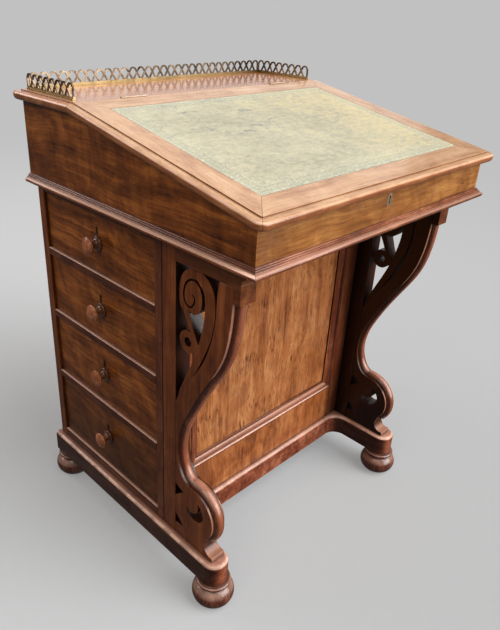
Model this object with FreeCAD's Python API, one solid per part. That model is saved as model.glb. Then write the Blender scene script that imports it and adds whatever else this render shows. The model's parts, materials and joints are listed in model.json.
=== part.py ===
"""Davenport desk: a sloping-lid desk box carried by a case of side drawers and two pierced brackets.

Millimetres, +Z up. The writing side faces -Y, and the drawers open towards -X.
The origin is on the floor, at the centre of the desk's bounding box.
"""
import FreeCAD, Part
import math
import os

from FreeCAD import Placement, Rotation, Vector

# ---------------------------------------------------------------- driving dimensions

# Fits and clearances
RUN_GAP = 0.5               # under and over a part that slides
SIDE_GAP = 0.75             # each side of a drawer in its opening
LID_GAP = 0.4               # between the closed lid and the box it rests over
PEG_GAP = 0.1               # around a turned peg in its hole
PAST = 1.0                  # how far a cutter runs past the face that it opens
NEAR = 0.01                 # how closely two places have to agree to be the same

# Main sizes
DESK_HEIGHT = 790.2         # floor to the flat top
CASE_WIDTH = 530.0
CASE_DEPTH = 341.0
BOX_DEPTH = 528.0
BOX_HEIGHT = 123.7          # from the floor of the box to the underside of the flat top

# Case of drawers
POST_THICKNESS = 18.0       # stiles and posts, front to back
POST_WIDTH = 29.0           # back posts, side to side
STILE_WIDTH = 62.0          # front stiles, with the width that each bracket covers
FRONT_RAIL_TOP = 40.0
FRONT_RAIL_BOTTOM = 79.0
PANEL_THICKNESS = 8.0
PANEL_SETBACK = 9.0         # panel face behind the front frame's face
MOULDING_WIDTH = 19.0
MOULDING_RIM = 3.0          # thickness that is left at the moulding's inner edge
MOULDING_ROLL = 5.7         # width of the roll beside the frame
MOULDING_CROWN = 1.5        # how far the roll stands in front of the frame
MOULDING_QUIRK = 1.2        # step between the roll and the slope
MOULDING_BELLY = 0.7        # how far the slope swells
MOULDING_FILLET = 2.3       # flat at the inner edge
BACK_THICKNESS = 10.0
FAR_SIDE_THICKNESS = 15.0   # panel that closes the side without drawers
GROOVE = 1.0                # depth of the line round each dummy drawer

# Drawers, counted from the top
DRAWER_COUNT = 4
OPENING_STEP = 9.5          # each opening is this much higher than the one above
BLADE_TOP = 17.0
BLADE = 14.0
BLADE_BOTTOM = 18.5
BLADE_DEPTH = 40.0
RUNNER_WIDTH = 12.0
DRAWER_LENGTH = 440.0
DRAWER_FRONT = 15.0
DRAWER_RECESS = 5.0         # drawer face behind the stiles
DRAWER_WALL = 8.0
DRAWER_FLOOR = 6.0
DRAWER_LOWER = 6.0          # box sides end this far under the top of the front

# Knobs, turned round their peg
KNOB_RADIUS = 15.0
KNOB_LENGTH = 25.0
KNOB_PEG = 5.0
PEG_END = 2.0               # wood behind the end of the peg
# Flange, neck and rim, each an arc through three points: (share of the radius, share of the length)
KNOB_OUTLINE = [(0.833, 0.000), (0.873, 0.064), (0.767, 0.128), (0.400, 0.380), (0.867, 0.660),
                (1.000, 0.740), (0.900, 0.830)]

# Locks and keyholes
LOCK_RISE = 22.0            # keyhole above the knob
LOCK_WIDTH = 44.0
LOCK_HEIGHT = 30.0
LOCK_DEPTH = 8.0
LOCK_TRIM = 4.0             # lock kept this far under the top edge of its drawer front
KEY_HEIGHT = 12.0
KEY_WIDTH = 4.0
KEY_PLATE = 2.0             # brass rim round the keyhole
KEY_PLATE_DEPTH = 1.5
LID_PLATE_EXTRA = 4.0       # the plate on the box is this much larger than a drawer's

# Plinth and feet
FOOT_HEIGHT = 53.0
BUN_RADIUS = 36.5
BUN_HEIGHT = 42.5
FOOT_BASE = 16.0
FOOT_NECK = 25.0
FOOT_RING = 30.0
FOOT_RING_HEIGHT = 8.0
FOOT_RING_BULGE = 3.0       # ring outside the collar over it
FOOT_COLLAR = 1.5           # height of the collar
FOOT_PEG = 12.0
FOOT_PEG_LENGTH = 20.0
PLINTH_HEIGHT = 44.5
PLINTH_OUT_SIDE = 11.5
PLINTH_OUT_FRONT = 9.0
PLINTH_OUT_BACK = 7.0
PLINTH_SIDE_WIDTH = 48.0
PLINTH_REACH = 142.0        # rounded ends in front of the case
PLINTH_HOLLOW = 28.0        # radius of the hollow inner corners
PLINTH_ROUND = 8.0
PLINTH_RAIL = 24.0

# Brackets
BRACKET_THICKNESS = 29.0
BRACKET_REACH = 165.0
BRACKET_STILE = 31.0
BRACKET_RAIL = 32.0
BRACKET_CAP_DROP = 23.0     # end block of the top rail under its lower edge
BRACKET_CAP_WIDTH = 13.0
BRACKET_CAP_LIP = 15.0      # square top of the block's moulded nose
BRACKET_CAP_HOLLOW = 12.0   # height of the hollow under it
BRACKET_CAP_BELLY = 0.25    # share of the nose that the hollow leaves at its middle
ROLL_WIDTH = 19.0           # half-round moulding on the front edge
ROLL_RISE = 7.5
VOLUTE_ROLL_WIDTH = 21.0    # its bolder run round the volute
VOLUTE_ROLL_RISE = 9.5
FRET_THICKNESS = 22.0
CURL_RADIUS = 18.0
CURL_HOLE = 7.5
DISC_WIDTH = 37.0
DISC_HEIGHT = 51.0
GROOVE_DEPTH = 5.0          # spiral groove in each face of the scroll
VOLUTE_HOLE = 20.5
VOLUTE_HOLE_INNER = 17.5

# Desk box
BOX_OUT_SIDE = 12.5         # box sides outside the case
BOX_BACK_INSET = 2.7        # box back in front of the case back
BOX_FLOOR = 11.0
BOX_WALL = 12.0
BOX_FRONT = 16.0
LEDGE_OUT = 10.5
LEDGE_HEIGHT = 15.0
LEDGE_NOSE = 8.5
REED_COUNT = 3
REED_RISE = 0.8            # how far each reed stands out of the slope

# Flat top and lid
BOARD_THICKNESS = 15.5
EDGE_STEP = 2.0             # small square step above the rounded edge
EDGE_ROUND = 5.0            # upper rounding of the edge
EDGE_ROUND_UNDER = 6.5
NOSE_OUT = 12.0             # rounded edge outside the step
NOSE_CORNER = 14.0
STEP_CORNER = 3.0
OVERHANG = 1.8              # step outside the box, at the sides and the back
OVERHANG_FRONT = 7.0
TOP_DEPTH = 157.0
LID_SLOPE = 10.6
LEATHER = 1.2
LEATHER_SINK = 0.3          # leather under the frame's surface
MARGIN = 39.5               # wooden frame round the leather
MARGIN_BACK = 36.5

# Hinges and lid lock
HINGE_LENGTH = 50.0
HINGE_SPREAD = 170.0        # each hinge from the middle
HINGE_LEAF = 12.0
HINGE_THICKNESS = 1.2
HINGE_KNUCKLE = 2.0
HINGE_PIN = 0.9
HINGE_GAP = 0.3
LID_JOINT = 0.3             # lid and top board each stop this far from the hinge line
STRIKE_LENGTH = 40.0
STRIKE_WIDTH = 12.0
STRIKE_THICKNESS = 2.0
LID_KEY_DROP = 19.0         # keyhole under the top of the box front

# Pigeonholes
NEST_WALL = 6.0
NEST_COLUMNS = 4
NEST_SHELF = 62.0
NEST_SETBACK = 8.0          # behind the hinge line

# Gallery
GALLERY_HEIGHT = 25.0
GALLERY_THICKNESS = 2.5
GALLERY_INSET = 8.5         # outer face inside the step of the top
GALLERY_BAND = 5.0
GALLERY_FOOT = 5.0          # width of the band on the board
GALLERY_PITCH = 18.0
GALLERY_CROWN = 8.0         # radius of each arch
GALLERY_WIRE = 2.7
ARCH_ROOT = 0.5             # how far an arch goes into the band
GALLERY_FRONT = 12.0        # front ends behind the hinge line

# Bracket outlines: (share of the reach in front of the stile, share of the height under the rail)
LEG_INNER = [(0.650, 1.000), (0.624, 0.950), (0.614, 0.890), (0.572, 0.825), (0.450, 0.735), (0.270, 0.658),
             (0.000, 0.543)]
LEG_FRONT = [(0.843, 1.000), (0.813, 0.863), (0.724, 0.769), (0.560, 0.687), (0.366, 0.602), (0.179, 0.508),
             (0.052, 0.422), (0.022, 0.354), (0.060, 0.299), (0.149, 0.258), (0.269, 0.242)]
VOLUTE_SIDE = (0.679, 0.150)
VOLUTE_UNDER = (0.590, 0.081)
NECK = (0.545, 0.052)
HOLLOW = (0.575, 0.026)
TOE_TOP = (0.679, 0.015)
TOE = (0.701, 0.015)
VOLUTE_EYE = (0.361, 0.159)
VOLUTE_EYE_INNER = (0.297, 0.179)
UPPER_NICK = [(0.000, 0.217), (0.155, 0.201), (0.000, 0.167)]
LOWER_NICK = [(0.000, 0.089), (0.172, 0.050), (0.000, 0.046)]
# Fret bands: the same shares, then half the band's width in millimetres
FRET_BAND = [(0.000, 0.545, 1.5), (0.150, 0.626, 5.0), (0.290, 0.700, 6.5), (0.395, 0.765, 8.0),
             (0.462, 0.820, 9.5), (0.497, 0.870, 9.8), (0.503, 0.915, 10.0), (0.470, 0.953, 10.0),
             (0.375, 0.976, 9.5), (0.254, 0.981, 8.5), (0.149, 0.968, 7.5), (0.080, 0.937, 6.0),
             (0.066, 0.904, 5.5), (0.100, 0.875, 7.0), (0.179, 0.865, 6.0)]
FRET_STEM = [(0.127, 0.867, 6.0), (0.205, 0.826, 4.5), (0.256, 0.795, 4.0), (0.310, 0.768, 5.0),
             (0.370, 0.745, 6.0)]
FRET_GROOVE = [(0.355, 0.951, 1.9), (0.262, 0.966, 1.9), (0.153, 0.952, 1.8), (0.106, 0.928, 1.7),
               (0.100, 0.904, 1.7), (0.136, 0.884, 1.7), (0.201, 0.879, 1.7), (0.256, 0.893, 1.6),
               (0.262, 0.913, 1.4), (0.222, 0.919, 1.1)]
FRET_DISC = (0.248, 0.912)
FRET_GAP_TIP = (0.190, 0.950)
FRET_GAP_COUNT = 10         # points of the band that the gap beside the disc runs along
FRET_CURL = (0.172, 0.766)

# ---------------------------------------------------------------- worked-out places

case_half = CASE_WIDTH / 2
box_half = case_half + BOX_OUT_SIDE
step_half = box_half + OVERHANG
nose_half = step_half + NOSE_OUT
plinth_half = case_half + PLINTH_OUT_SIDE
plinth_inner = plinth_half - PLINTH_SIDE_WIDTH
foot_x = plinth_half - PLINTH_SIDE_WIDTH / 2

# Depths are first measured behind the case front, and then moved to the middle of the whole desk.
raw_plinth_back = CASE_DEPTH + PLINTH_OUT_BACK
raw_foot_back = raw_plinth_back - PLINTH_SIDE_WIDTH / 2
raw_box_back = CASE_DEPTH - BOX_BACK_INSET
raw_front = raw_box_back - BOX_DEPTH - OVERHANG_FRONT
slope_angle = math.radians(LID_SLOPE)
nose_drop = (EDGE_STEP + EDGE_ROUND) * math.sin(slope_angle)
raw_nose = raw_front - (NOSE_OUT - EDGE_ROUND) * math.cos(slope_angle) + nose_drop - EDGE_ROUND
raw_rear = max(raw_foot_back + BUN_RADIUS, raw_plinth_back, raw_box_back + OVERHANG + NOSE_OUT)
case_front = -(raw_nose + raw_rear) / 2
case_back = case_front + CASE_DEPTH
plinth_back = case_front + raw_plinth_back
plinth_front = case_front - PLINTH_REACH
foot_back_y = case_front + raw_foot_back
foot_front_y = plinth_front + PLINTH_SIDE_WIDTH / 2
box_back = case_front + raw_box_back
box_front = box_back - BOX_DEPTH
frame_back = case_front + POST_THICKNESS
post_front = case_back - POST_THICKNESS
step_back = box_back + OVERHANG
hinge_y = step_back - TOP_DEPTH
step_front = box_front - OVERHANG_FRONT

top_z = DESK_HEIGHT
board_under = top_z - BOARD_THICKNESS
box_floor_top = board_under - BOX_HEIGHT
case_top = box_floor_top - BOX_FLOOR
plinth_top = FOOT_HEIGHT + PLINTH_HEIGHT
open_height = case_top - plinth_top - BLADE_TOP - BLADE * (DRAWER_COUNT - 1) - BLADE_BOTTOM
mean_opening = open_height / DRAWER_COUNT
opening_heights = [mean_opening + OPENING_STEP * (n - (DRAWER_COUNT - 1) / 2) for n in range(DRAWER_COUNT)]
lid_length = (hinge_y - step_front) / math.cos(slope_angle)
hinge_axis_z = top_z + LID_JOINT

stile_front = case_front - BRACKET_STILE
bracket_front = case_front - BRACKET_REACH
leg_reach = stile_front - bracket_front
rail_under = case_top - BRACKET_RAIL
leg_height = rail_under - plinth_top
bracket_inner = case_half - BRACKET_THICKNESS
plate_width = KEY_WIDTH + 2 * KEY_PLATE
plate_height = KEY_HEIGHT + 2 * KEY_PLATE
peg_length = DRAWER_FRONT - PEG_END


def opening_floors():
    """Height of the floor of each drawer opening, from the top drawer down."""
    floors = []
    ceiling = case_top - BLADE_TOP
    for height in opening_heights:
        floors.append(ceiling - height)
        ceiling -= height + BLADE
    return floors


floors = opening_floors()
knob_heights = [floor + height / 2 for floor, height in zip(floors, opening_heights)]
opening_mid_y = (frame_back + post_front) / 2
drawer_face = case_half - DRAWER_RECESS


# ---------------------------------------------------------------- drawing helpers

def block(x0, x1, y0, y1, z0, z1):
    """Rectangular solid between two corners, given in any order."""
    low = Vector(min(x0, x1), min(y0, y1), min(z0, z1))
    return Part.makeBox(abs(x1 - x0), abs(y1 - y0), abs(z1 - z0), low)


def rod(start, end, radius):
    """Round bar from one point to another."""
    axis = end - start
    return Part.makeCylinder(radius, axis.Length, start, axis)


def line(a, b):
    return Part.makeLine(a, b)


def arc(a, middle, b):
    return Part.Arc(a, middle, b).toShape()


def curve(points):
    spline = Part.BSplineCurve()
    spline.interpolate(Points=points)
    return spline.toShape()


def face_of(edges):
    return Part.Face(Part.Wire(Part.__sortEdges__(edges)))


def flat(across, up):
    """Point of a turned outline, in the XZ plane."""
    return Vector(across, 0, up)


def open_chain(points):
    """Straight edges from each point to the next."""
    return [line(a, b) for a, b in zip(points, points[1:])]


def polygon(points):
    return Part.Face(Part.makePolygon(points + [points[0]]))


def flip(shape):
    """The same piece on the other side of the desk."""
    return shape.mirror(Vector(0, 0, 0), Vector(1, 0, 0))


def turned(edges):
    """Solid turned about the Z axis from an outline that is closed along it."""
    return face_of(edges).revolve(Vector(0, 0, 0), Vector(0, 0, 1), 360)


def dome(rim, top):
    """Arc of a turned outline from its rim up to the axis, which it meets square."""
    rise = top - rim.z
    radius = (rim.x ** 2 + rise ** 2) / (2 * rise)
    turn = math.atan2(rim.x, radius - rise) / 2
    middle = flat(radius * math.sin(turn), top - radius * (1 - math.cos(turn)))
    return arc(rim, middle, flat(0, top))


def tilt(shape):
    """Takes a piece drawn on the level at the hinge line down to the lid's slope."""
    out = shape.copy()
    out.rotate(Vector(0, hinge_y, top_z), Vector(1, 0, 0), LID_SLOPE)
    return out


def keyhole(width, height, depth):
    """Keyhole with a round top and a narrower straight slot, cut along +Y from the origin."""
    head = width / 2
    bore = Part.makeCylinder(head, depth, Vector(0, 0, height / 2 - head), Vector(0, 1, 0))
    slot = block(-head / 2, head / 2, 0, depth, -height / 2, height / 2 - head)
    return bore.fuse(slot).removeSplitter()


def key_plate(width, height, depth):
    """Long oval plate round a keyhole, standing in the XZ plane and going along +Y."""
    half = width / 2
    straight = height / 2 - half
    edges = [line(Vector(-half, 0, -straight), Vector(-half, 0, straight)),
             arc(Vector(-half, 0, straight), Vector(0, 0, height / 2), Vector(half, 0, straight)),
             line(Vector(half, 0, straight), Vector(half, 0, -straight)),
             arc(Vector(half, 0, -straight), Vector(0, 0, -height / 2), Vector(-half, 0, -straight))]
    return face_of(edges).extrude(Vector(0, depth, 0))


# ---------------------------------------------------------------- plinth and feet

def foot(x, y):
    """Turned bun foot with a neck, a ring at its top and a peg up into the plinth."""
    ring_low = FOOT_HEIGHT - FOOT_RING_HEIGHT
    ring_high = FOOT_HEIGHT - FOOT_COLLAR
    peg_top = FOOT_HEIGHT + FOOT_PEG_LENGTH
    collar = FOOT_RING - FOOT_RING_BULGE
    bun_top = flat(FOOT_NECK, BUN_HEIGHT)
    ring_middle = flat(FOOT_RING, (ring_low + ring_high) / 2)
    profile = [arc(flat(FOOT_BASE, 0), flat(BUN_RADIUS, BUN_HEIGHT / 2), bun_top),
               line(bun_top, flat(collar, ring_low)),
               arc(flat(collar, ring_low), ring_middle, flat(collar, ring_high))]
    profile += open_chain([flat(collar, ring_high), flat(collar, FOOT_HEIGHT), flat(FOOT_PEG, FOOT_HEIGHT),
                           flat(FOOT_PEG, peg_top), flat(0, peg_top), flat(0, 0), flat(FOOT_BASE, 0)])
    solid = turned(profile)
    solid.translate(Vector(x, y, 0))
    return solid


def plinth_side():
    """Side member: rounded in front, with the hollow inner corner and the peg holes of its feet."""
    out, inner = plinth_half, plinth_inner
    radius = PLINTH_SIDE_WIDTH / 2
    corner = plinth_front + radius
    rail_face = case_front - PLINTH_OUT_FRONT
    rail_back = rail_face + PLINTH_RAIL
    hollow_x = inner - PLINTH_HOLLOW
    hollow_y = rail_face - PLINTH_HOLLOW
    bend = PLINTH_HOLLOW * math.sqrt(0.5)
    z = FOOT_HEIGHT

    def at(x, y):
        return Vector(x, y, z)

    edges = [line(at(out, plinth_back), at(out, corner)),
             arc(at(out, corner), at(foot_x, plinth_front), at(inner, corner)),
             line(at(inner, corner), at(inner, hollow_y)),
             arc(at(inner, hollow_y), at(hollow_x + bend, hollow_y + bend), at(hollow_x, rail_face)),
             line(at(hollow_x, rail_face), at(hollow_x, rail_back)),
             line(at(hollow_x, rail_back), at(inner, rail_back)),
             line(at(inner, rail_back), at(inner, plinth_back)),
             line(at(inner, plinth_back), at(out, plinth_back))]
    solid = face_of(edges).extrude(Vector(0, 0, PLINTH_HEIGHT))
    solid = round_top(solid, PLINTH_ROUND, shown_plinth_edge)
    for y in (foot_front_y, foot_back_y):
        hole = Part.makeCylinder(FOOT_PEG + PEG_GAP, FOOT_PEG_LENGTH + PEG_GAP, Vector(foot_x, y, z))
        solid = solid.cut(hole)
    return solid


def shown_plinth_edge(middle):
    """True for the top edges of a side member that stay outside the case."""
    outside = middle.x > plinth_half - NEAR
    in_front = middle.y < case_front - PLINTH_OUT_FRONT - NEAR
    return outside or in_front


def round_top(solid, radius, shown):
    """Rounds the top edges whose middle point the test picks out."""
    top = solid.BoundBox.ZMax
    picked = []
    for edge in solid.Edges:
        middle = edge.valueAt((edge.FirstParameter + edge.LastParameter) / 2)
        level = abs(edge.BoundBox.ZMin - top) < NEAR and edge.BoundBox.ZLength < NEAR
        if level and shown(middle):
            picked.append(edge)
    return solid.makeFillet(radius, picked)


def plinth_front_rail():
    face = case_front - PLINTH_OUT_FRONT
    half = plinth_inner - PLINTH_HOLLOW
    solid = block(-half, half, face, face + PLINTH_RAIL, FOOT_HEIGHT, plinth_top)
    return round_top(solid, PLINTH_ROUND, lambda middle: middle.y < face + NEAR)


def plinth_back_rail():
    return block(-plinth_inner, plinth_inner, plinth_back - PLINTH_RAIL, plinth_back, FOOT_HEIGHT, plinth_top)


# ---------------------------------------------------------------- case of drawers

def front_stile():
    return block(case_half - STILE_WIDTH, case_half, case_front, frame_back, plinth_top, case_top)


def front_rails():
    half = case_half - STILE_WIDTH
    top = block(-half, half, case_front, frame_back, case_top - FRONT_RAIL_TOP, case_top)
    bottom = block(-half, half, case_front, frame_back, plinth_top, plinth_top + FRONT_RAIL_BOTTOM)
    return [top, bottom]


def front_panel():
    half = case_half - STILE_WIDTH
    face = case_front + PANEL_SETBACK
    low = plinth_top + FRONT_RAIL_BOTTOM
    high = case_top - FRONT_RAIL_TOP
    return block(-half, half, face, face + PANEL_THICKNESS, low, high)


def panel_moulding_section(base, inward):
    """Moulding section: a roll at the frame, a swelling slope and a thin rim on the panel.

    base is the outer front corner and inward is the unit direction towards the panel's middle.
    """
    back = PANEL_SETBACK
    rim = back - MOULDING_RIM
    flat_start = MOULDING_WIDTH - MOULDING_FILLET
    quirk = MOULDING_CROWN - MOULDING_QUIRK / 2
    slope_start = quirk + MOULDING_QUIRK
    slope_middle = (MOULDING_ROLL + flat_start) / 2
    swell = (slope_start + rim) / 2 - MOULDING_BELLY

    def at(across, down):
        return base + inward * across + Vector(0, down, 0)

    edges = [arc(at(0, 0), at(MOULDING_ROLL / 2, -MOULDING_CROWN), at(MOULDING_ROLL, quirk)),
             line(at(MOULDING_ROLL, quirk), at(MOULDING_ROLL, slope_start)),
             arc(at(MOULDING_ROLL, slope_start), at(slope_middle, swell), at(flat_start, rim))]
    edges += open_chain([at(flat_start, rim), at(MOULDING_WIDTH, rim), at(MOULDING_WIDTH, back), at(0, back),
                         at(0, 0)])
    return face_of(edges)


def front_panel_moulding():
    """Four mitred lengths round the panel."""
    half = case_half - STILE_WIDTH
    low = plinth_top + FRONT_RAIL_BOTTOM
    high = case_top - FRONT_RAIL_TOP
    corners = [Vector(-half, case_front, low), Vector(half, case_front, low),
               Vector(half, case_front, high), Vector(-half, case_front, high)]
    inwards = [Vector(0, 0, 1), Vector(-1, 0, 0), Vector(0, 0, -1), Vector(1, 0, 0)]
    pieces = []
    for n, start in enumerate(corners):
        run = corners[(n + 1) % len(corners)] - start
        length = panel_moulding_section(start, inwards[n]).extrude(run)
        pieces.append(mitre(length, start, run, inwards[n]))
    return pieces


def mitre(length, start, run, inward):
    """Keeps the part of a moulding length between the 45 degree cuts at its two ends."""
    along = Vector(run).normalize()
    reach = MOULDING_WIDTH + PAST
    depth = Vector(0, PANEL_SETBACK * 3, 0)
    first = start - Vector(0, PANEL_SETBACK, 0)
    last = first + run
    deep = inward * reach
    outline = [first, last, last - along * reach + deep, first + along * reach + deep]
    keep = polygon(outline).extrude(depth)
    return length.common(keep)


def back_post():
    return block(case_half - POST_WIDTH, case_half, post_front, case_back, plinth_top, case_top)


def back_panel():
    half = case_half - POST_WIDTH
    back = case_back - (POST_THICKNESS - BACK_THICKNESS) / 2
    return block(-half, half, back - BACK_THICKNESS, back, plinth_top, case_top)


def blade_levels():
    """Bottom and top of each drawer blade, from the top down."""
    levels = [(case_top - BLADE_TOP, case_top)]
    for floor in floors[:-1]:
        levels.append((floor - BLADE, floor))
    levels.append((plinth_top, floors[-1]))
    return levels


def drawer_blades():
    outer, inner = -case_half, -case_half + BLADE_DEPTH
    return [block(outer, inner, frame_back, post_front, low, high) for low, high in blade_levels()]


def drawer_runners():
    """A pair of runners behind each blade that carries a drawer, level with the blade's top."""
    start = -case_half + BLADE_DEPTH
    end = case_half - DRAWER_RECESS - FAR_SIDE_THICKNESS
    pieces = []
    for floor in floors:
        for y in (frame_back, post_front - RUNNER_WIDTH):
            pieces.append(block(start, end, y, y + RUNNER_WIDTH, floor - BLADE, floor))
    return pieces


def far_side_panel():
    """Panel of the side without drawers, with a fine groove round each dummy drawer."""
    panel = block(drawer_face - FAR_SIDE_THICKNESS, drawer_face, frame_back, post_front, plinth_top, case_top)
    for floor, height in zip(floors, opening_heights):
        panel = panel.cut(dummy_groove(floor, height))
    for z in knob_heights:
        panel = panel.cut(flip(peg_hole(z)))
    return panel


def peg_hole(z):
    """Hole for a knob's peg, from outside the face of the drawers."""
    outer = Vector(-drawer_face - PAST, opening_mid_y, z)
    inner = Vector(-drawer_face + peg_length + PEG_GAP, opening_mid_y, z)
    return rod(outer, inner, KNOB_PEG + PEG_GAP)


def dummy_groove(floor, height):
    low, high = drawer_face - GROOVE, drawer_face + PAST
    outer = block(low, high, frame_back, post_front, floor, floor + height)
    inner = block(low, high, frame_back + SIDE_GAP, post_front - SIDE_GAP,
                  floor + SIDE_GAP, floor + height - SIDE_GAP)
    return outer.cut(inner)


def far_side_rails():
    return [block(drawer_face, case_half, frame_back, post_front, low, high) for low, high in blade_levels()]


# ---------------------------------------------------------------- drawers

def knob(z):
    """Turned knob on the -X side, with its peg going into the drawer front."""
    shown = [flat(across * KNOB_RADIUS, up * KNOB_LENGTH) for across, up in KNOB_OUTLINE]
    edges = [arc(*shown[n:n + 3]) for n in range(0, len(shown) - 1, 2)]
    edges.append(dome(shown[-1], KNOB_LENGTH))
    edges += open_chain([flat(0, KNOB_LENGTH), flat(0, -peg_length), flat(KNOB_PEG, -peg_length),
                         flat(KNOB_PEG, 0), shown[0]])
    solid = turned(edges)
    solid.Placement = Placement(Vector(-drawer_face, opening_mid_y, z), Rotation(Vector(0, 1, 0), -90))
    return solid


def far_side_knobs():
    return [flip(knob(z)) for z in knob_heights]


def drawer_bounds(index):
    """Front-to-back and up-and-down limits of a drawer in its opening."""
    low = floors[index] + RUN_GAP
    high = floors[index] + opening_heights[index] - RUN_GAP
    return frame_back + SIDE_GAP, post_front - SIDE_GAP, low, high


def drawer_front(index):
    y0, y1, low, high = drawer_bounds(index)
    z = knob_heights[index]
    front = block(-drawer_face, -drawer_face + DRAWER_FRONT, y0, y1, low, high)
    key_z = z + LOCK_RISE
    plate_seat = in_drawer_front(key_plate(plate_width, plate_height, KEY_PLATE_DEPTH), key_z)
    shaft = in_drawer_front(keyhole(KEY_WIDTH, KEY_HEIGHT, DRAWER_FRONT), key_z)
    return front.cut(peg_hole(z)).cut(plate_seat).cut(shaft).cut(lock_case(index))


def in_drawer_front(shape, z):
    """Turns a piece drawn along +Y into the outer face of a drawer front."""
    out = shape.copy()
    out.Placement = Placement(Vector(-drawer_face, opening_mid_y, z), Rotation(Vector(0, 0, 1), -90))
    return out


def lock_case(index):
    """Lock let into the back of a drawer front."""
    top = drawer_bounds(index)[3] - LOCK_TRIM
    inner = -drawer_face + DRAWER_FRONT
    near, far = opening_mid_y - LOCK_WIDTH / 2, opening_mid_y + LOCK_WIDTH / 2
    return block(inner - LOCK_DEPTH, inner, near, far, top - LOCK_HEIGHT, top)


def drawer_lock(index):
    """Brass lock case and the keyhole plate in front of it."""
    key_z = knob_heights[index] + LOCK_RISE
    plate = in_drawer_front(key_plate(plate_width, plate_height, KEY_PLATE_DEPTH), key_z)
    hole = in_drawer_front(keyhole(KEY_WIDTH, KEY_HEIGHT, DRAWER_FRONT), key_z)
    return [lock_case(index).cut(hole), plate.cut(hole)]


def drawer_box(index):
    """Two sides, a back and a bottom, dry jointed behind the front."""
    y0, y1, low, high = drawer_bounds(index)
    start = -drawer_face + DRAWER_FRONT
    end = -drawer_face + DRAWER_LENGTH
    top = high - DRAWER_LOWER
    sides = [block(start, end, y0, y0 + DRAWER_WALL, low, top),
             block(start, end, y1 - DRAWER_WALL, y1, low, top)]
    back = block(end - DRAWER_WALL, end, y0 + DRAWER_WALL, y1 - DRAWER_WALL, low, top)
    bottom = block(start, end - DRAWER_WALL, y0 + DRAWER_WALL, y1 - DRAWER_WALL, low, low + DRAWER_FLOOR)
    return sides + [back, bottom]


# ---------------------------------------------------------------- brackets

def leg_point(share):
    """Point of the bracket outline, in the plane of its outer face."""
    return Vector(case_half, stile_front - share[0] * leg_reach, plinth_top + share[1] * leg_height)


def leg_edge():
    """The leg's outline: down the front, round the volute, over the foot, and up the inner curve."""
    cusp = leg_point(LEG_FRONT[-1])
    neck = leg_point(NECK)
    toe_top = leg_point(TOE_TOP)
    toe = leg_point(TOE)
    toe_low = Vector(toe.x, toe.y, plinth_top)
    heel = leg_point((0.0, 0.0))
    tip = leg_point(LEG_INNER[-1])
    return [curve([leg_point(p) for p in LEG_FRONT]),
            arc(cusp, leg_point(VOLUTE_SIDE), leg_point(VOLUTE_UNDER)),
            line(leg_point(VOLUTE_UNDER), neck),
            arc(neck, leg_point(HOLLOW), toe_top),
            line(toe_top, toe),
            line(toe, toe_low),
            line(toe_low, heel),
            line(heel, tip),
            curve([leg_point(p) for p in reversed(LEG_INNER)]),
            line(leg_point(LEG_INNER[0]), leg_point(LEG_FRONT[0]))]


def disc_at(share, radius, thickness):
    """Round plug through a bracket at a point of its outline."""
    start = leg_point(share) + Vector(PAST, 0, 0)
    return rod(start, start - Vector(thickness + 2 * PAST, 0, 0), radius)


def bracket_leg():
    leg = face_of(leg_edge()).extrude(Vector(-BRACKET_THICKNESS, 0, 0))
    eye = disc_at(VOLUTE_EYE, VOLUTE_HOLE, BRACKET_THICKNESS)
    crescent = eye.cut(disc_at(VOLUTE_EYE_INNER, VOLUTE_HOLE_INNER, BRACKET_THICKNESS))
    leg = leg.cut(crescent)
    for nick in (UPPER_NICK, LOWER_NICK):
        leg = leg.cut(polygon([leg_point(p) for p in nick]).extrude(Vector(-BRACKET_THICKNESS, 0, 0)))
    return leg.cut(bracket_rail()).removeSplitter()


def bracket_stile():
    return block(bracket_inner, case_half, stile_front, case_front, plinth_top, case_top)


def bracket_rail():
    """Top rail that ends in a block with a hollow moulded nose under the desk box."""
    block_back = leg_point(LEG_FRONT[0]).y
    block_front = block_back - BRACKET_CAP_WIDTH
    low = rail_under - BRACKET_CAP_DROP
    lip = case_top - BRACKET_CAP_LIP
    hollow = lip - BRACKET_CAP_HOLLOW
    middle_y = block_front + (bracket_front - block_front) * BRACKET_CAP_BELLY
    middle_z = lip + (hollow - lip) * BRACKET_CAP_BELLY

    def at(y, z):
        return Vector(case_half, y, z)

    edges = open_chain([at(bracket_front, lip), at(bracket_front, case_top), at(stile_front, case_top),
                        at(stile_front, rail_under), at(block_back, rail_under), at(block_back, low),
                        at(block_front, low), at(block_front, hollow)])
    edges.append(arc(at(block_front, hollow), at(middle_y, middle_z), at(bracket_front, lip)))
    return face_of(edges).extrude(Vector(-BRACKET_THICKNESS, 0, 0))


def roll_along(edge, width, rise):
    """Rounded moulding, flat on the leg's edge and square to it where the run starts."""
    point = edge.valueAt(edge.FirstParameter)
    half = Vector(width / 2, 0, 0)
    out = edge.tangentAt(edge.FirstParameter).cross(half).normalize()
    section = [arc(point - half, point + out * rise, point + half), line(point + half, point - half)]
    return Part.Wire([edge]).makePipeShell([Part.Wire(section)], True, False)


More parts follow.
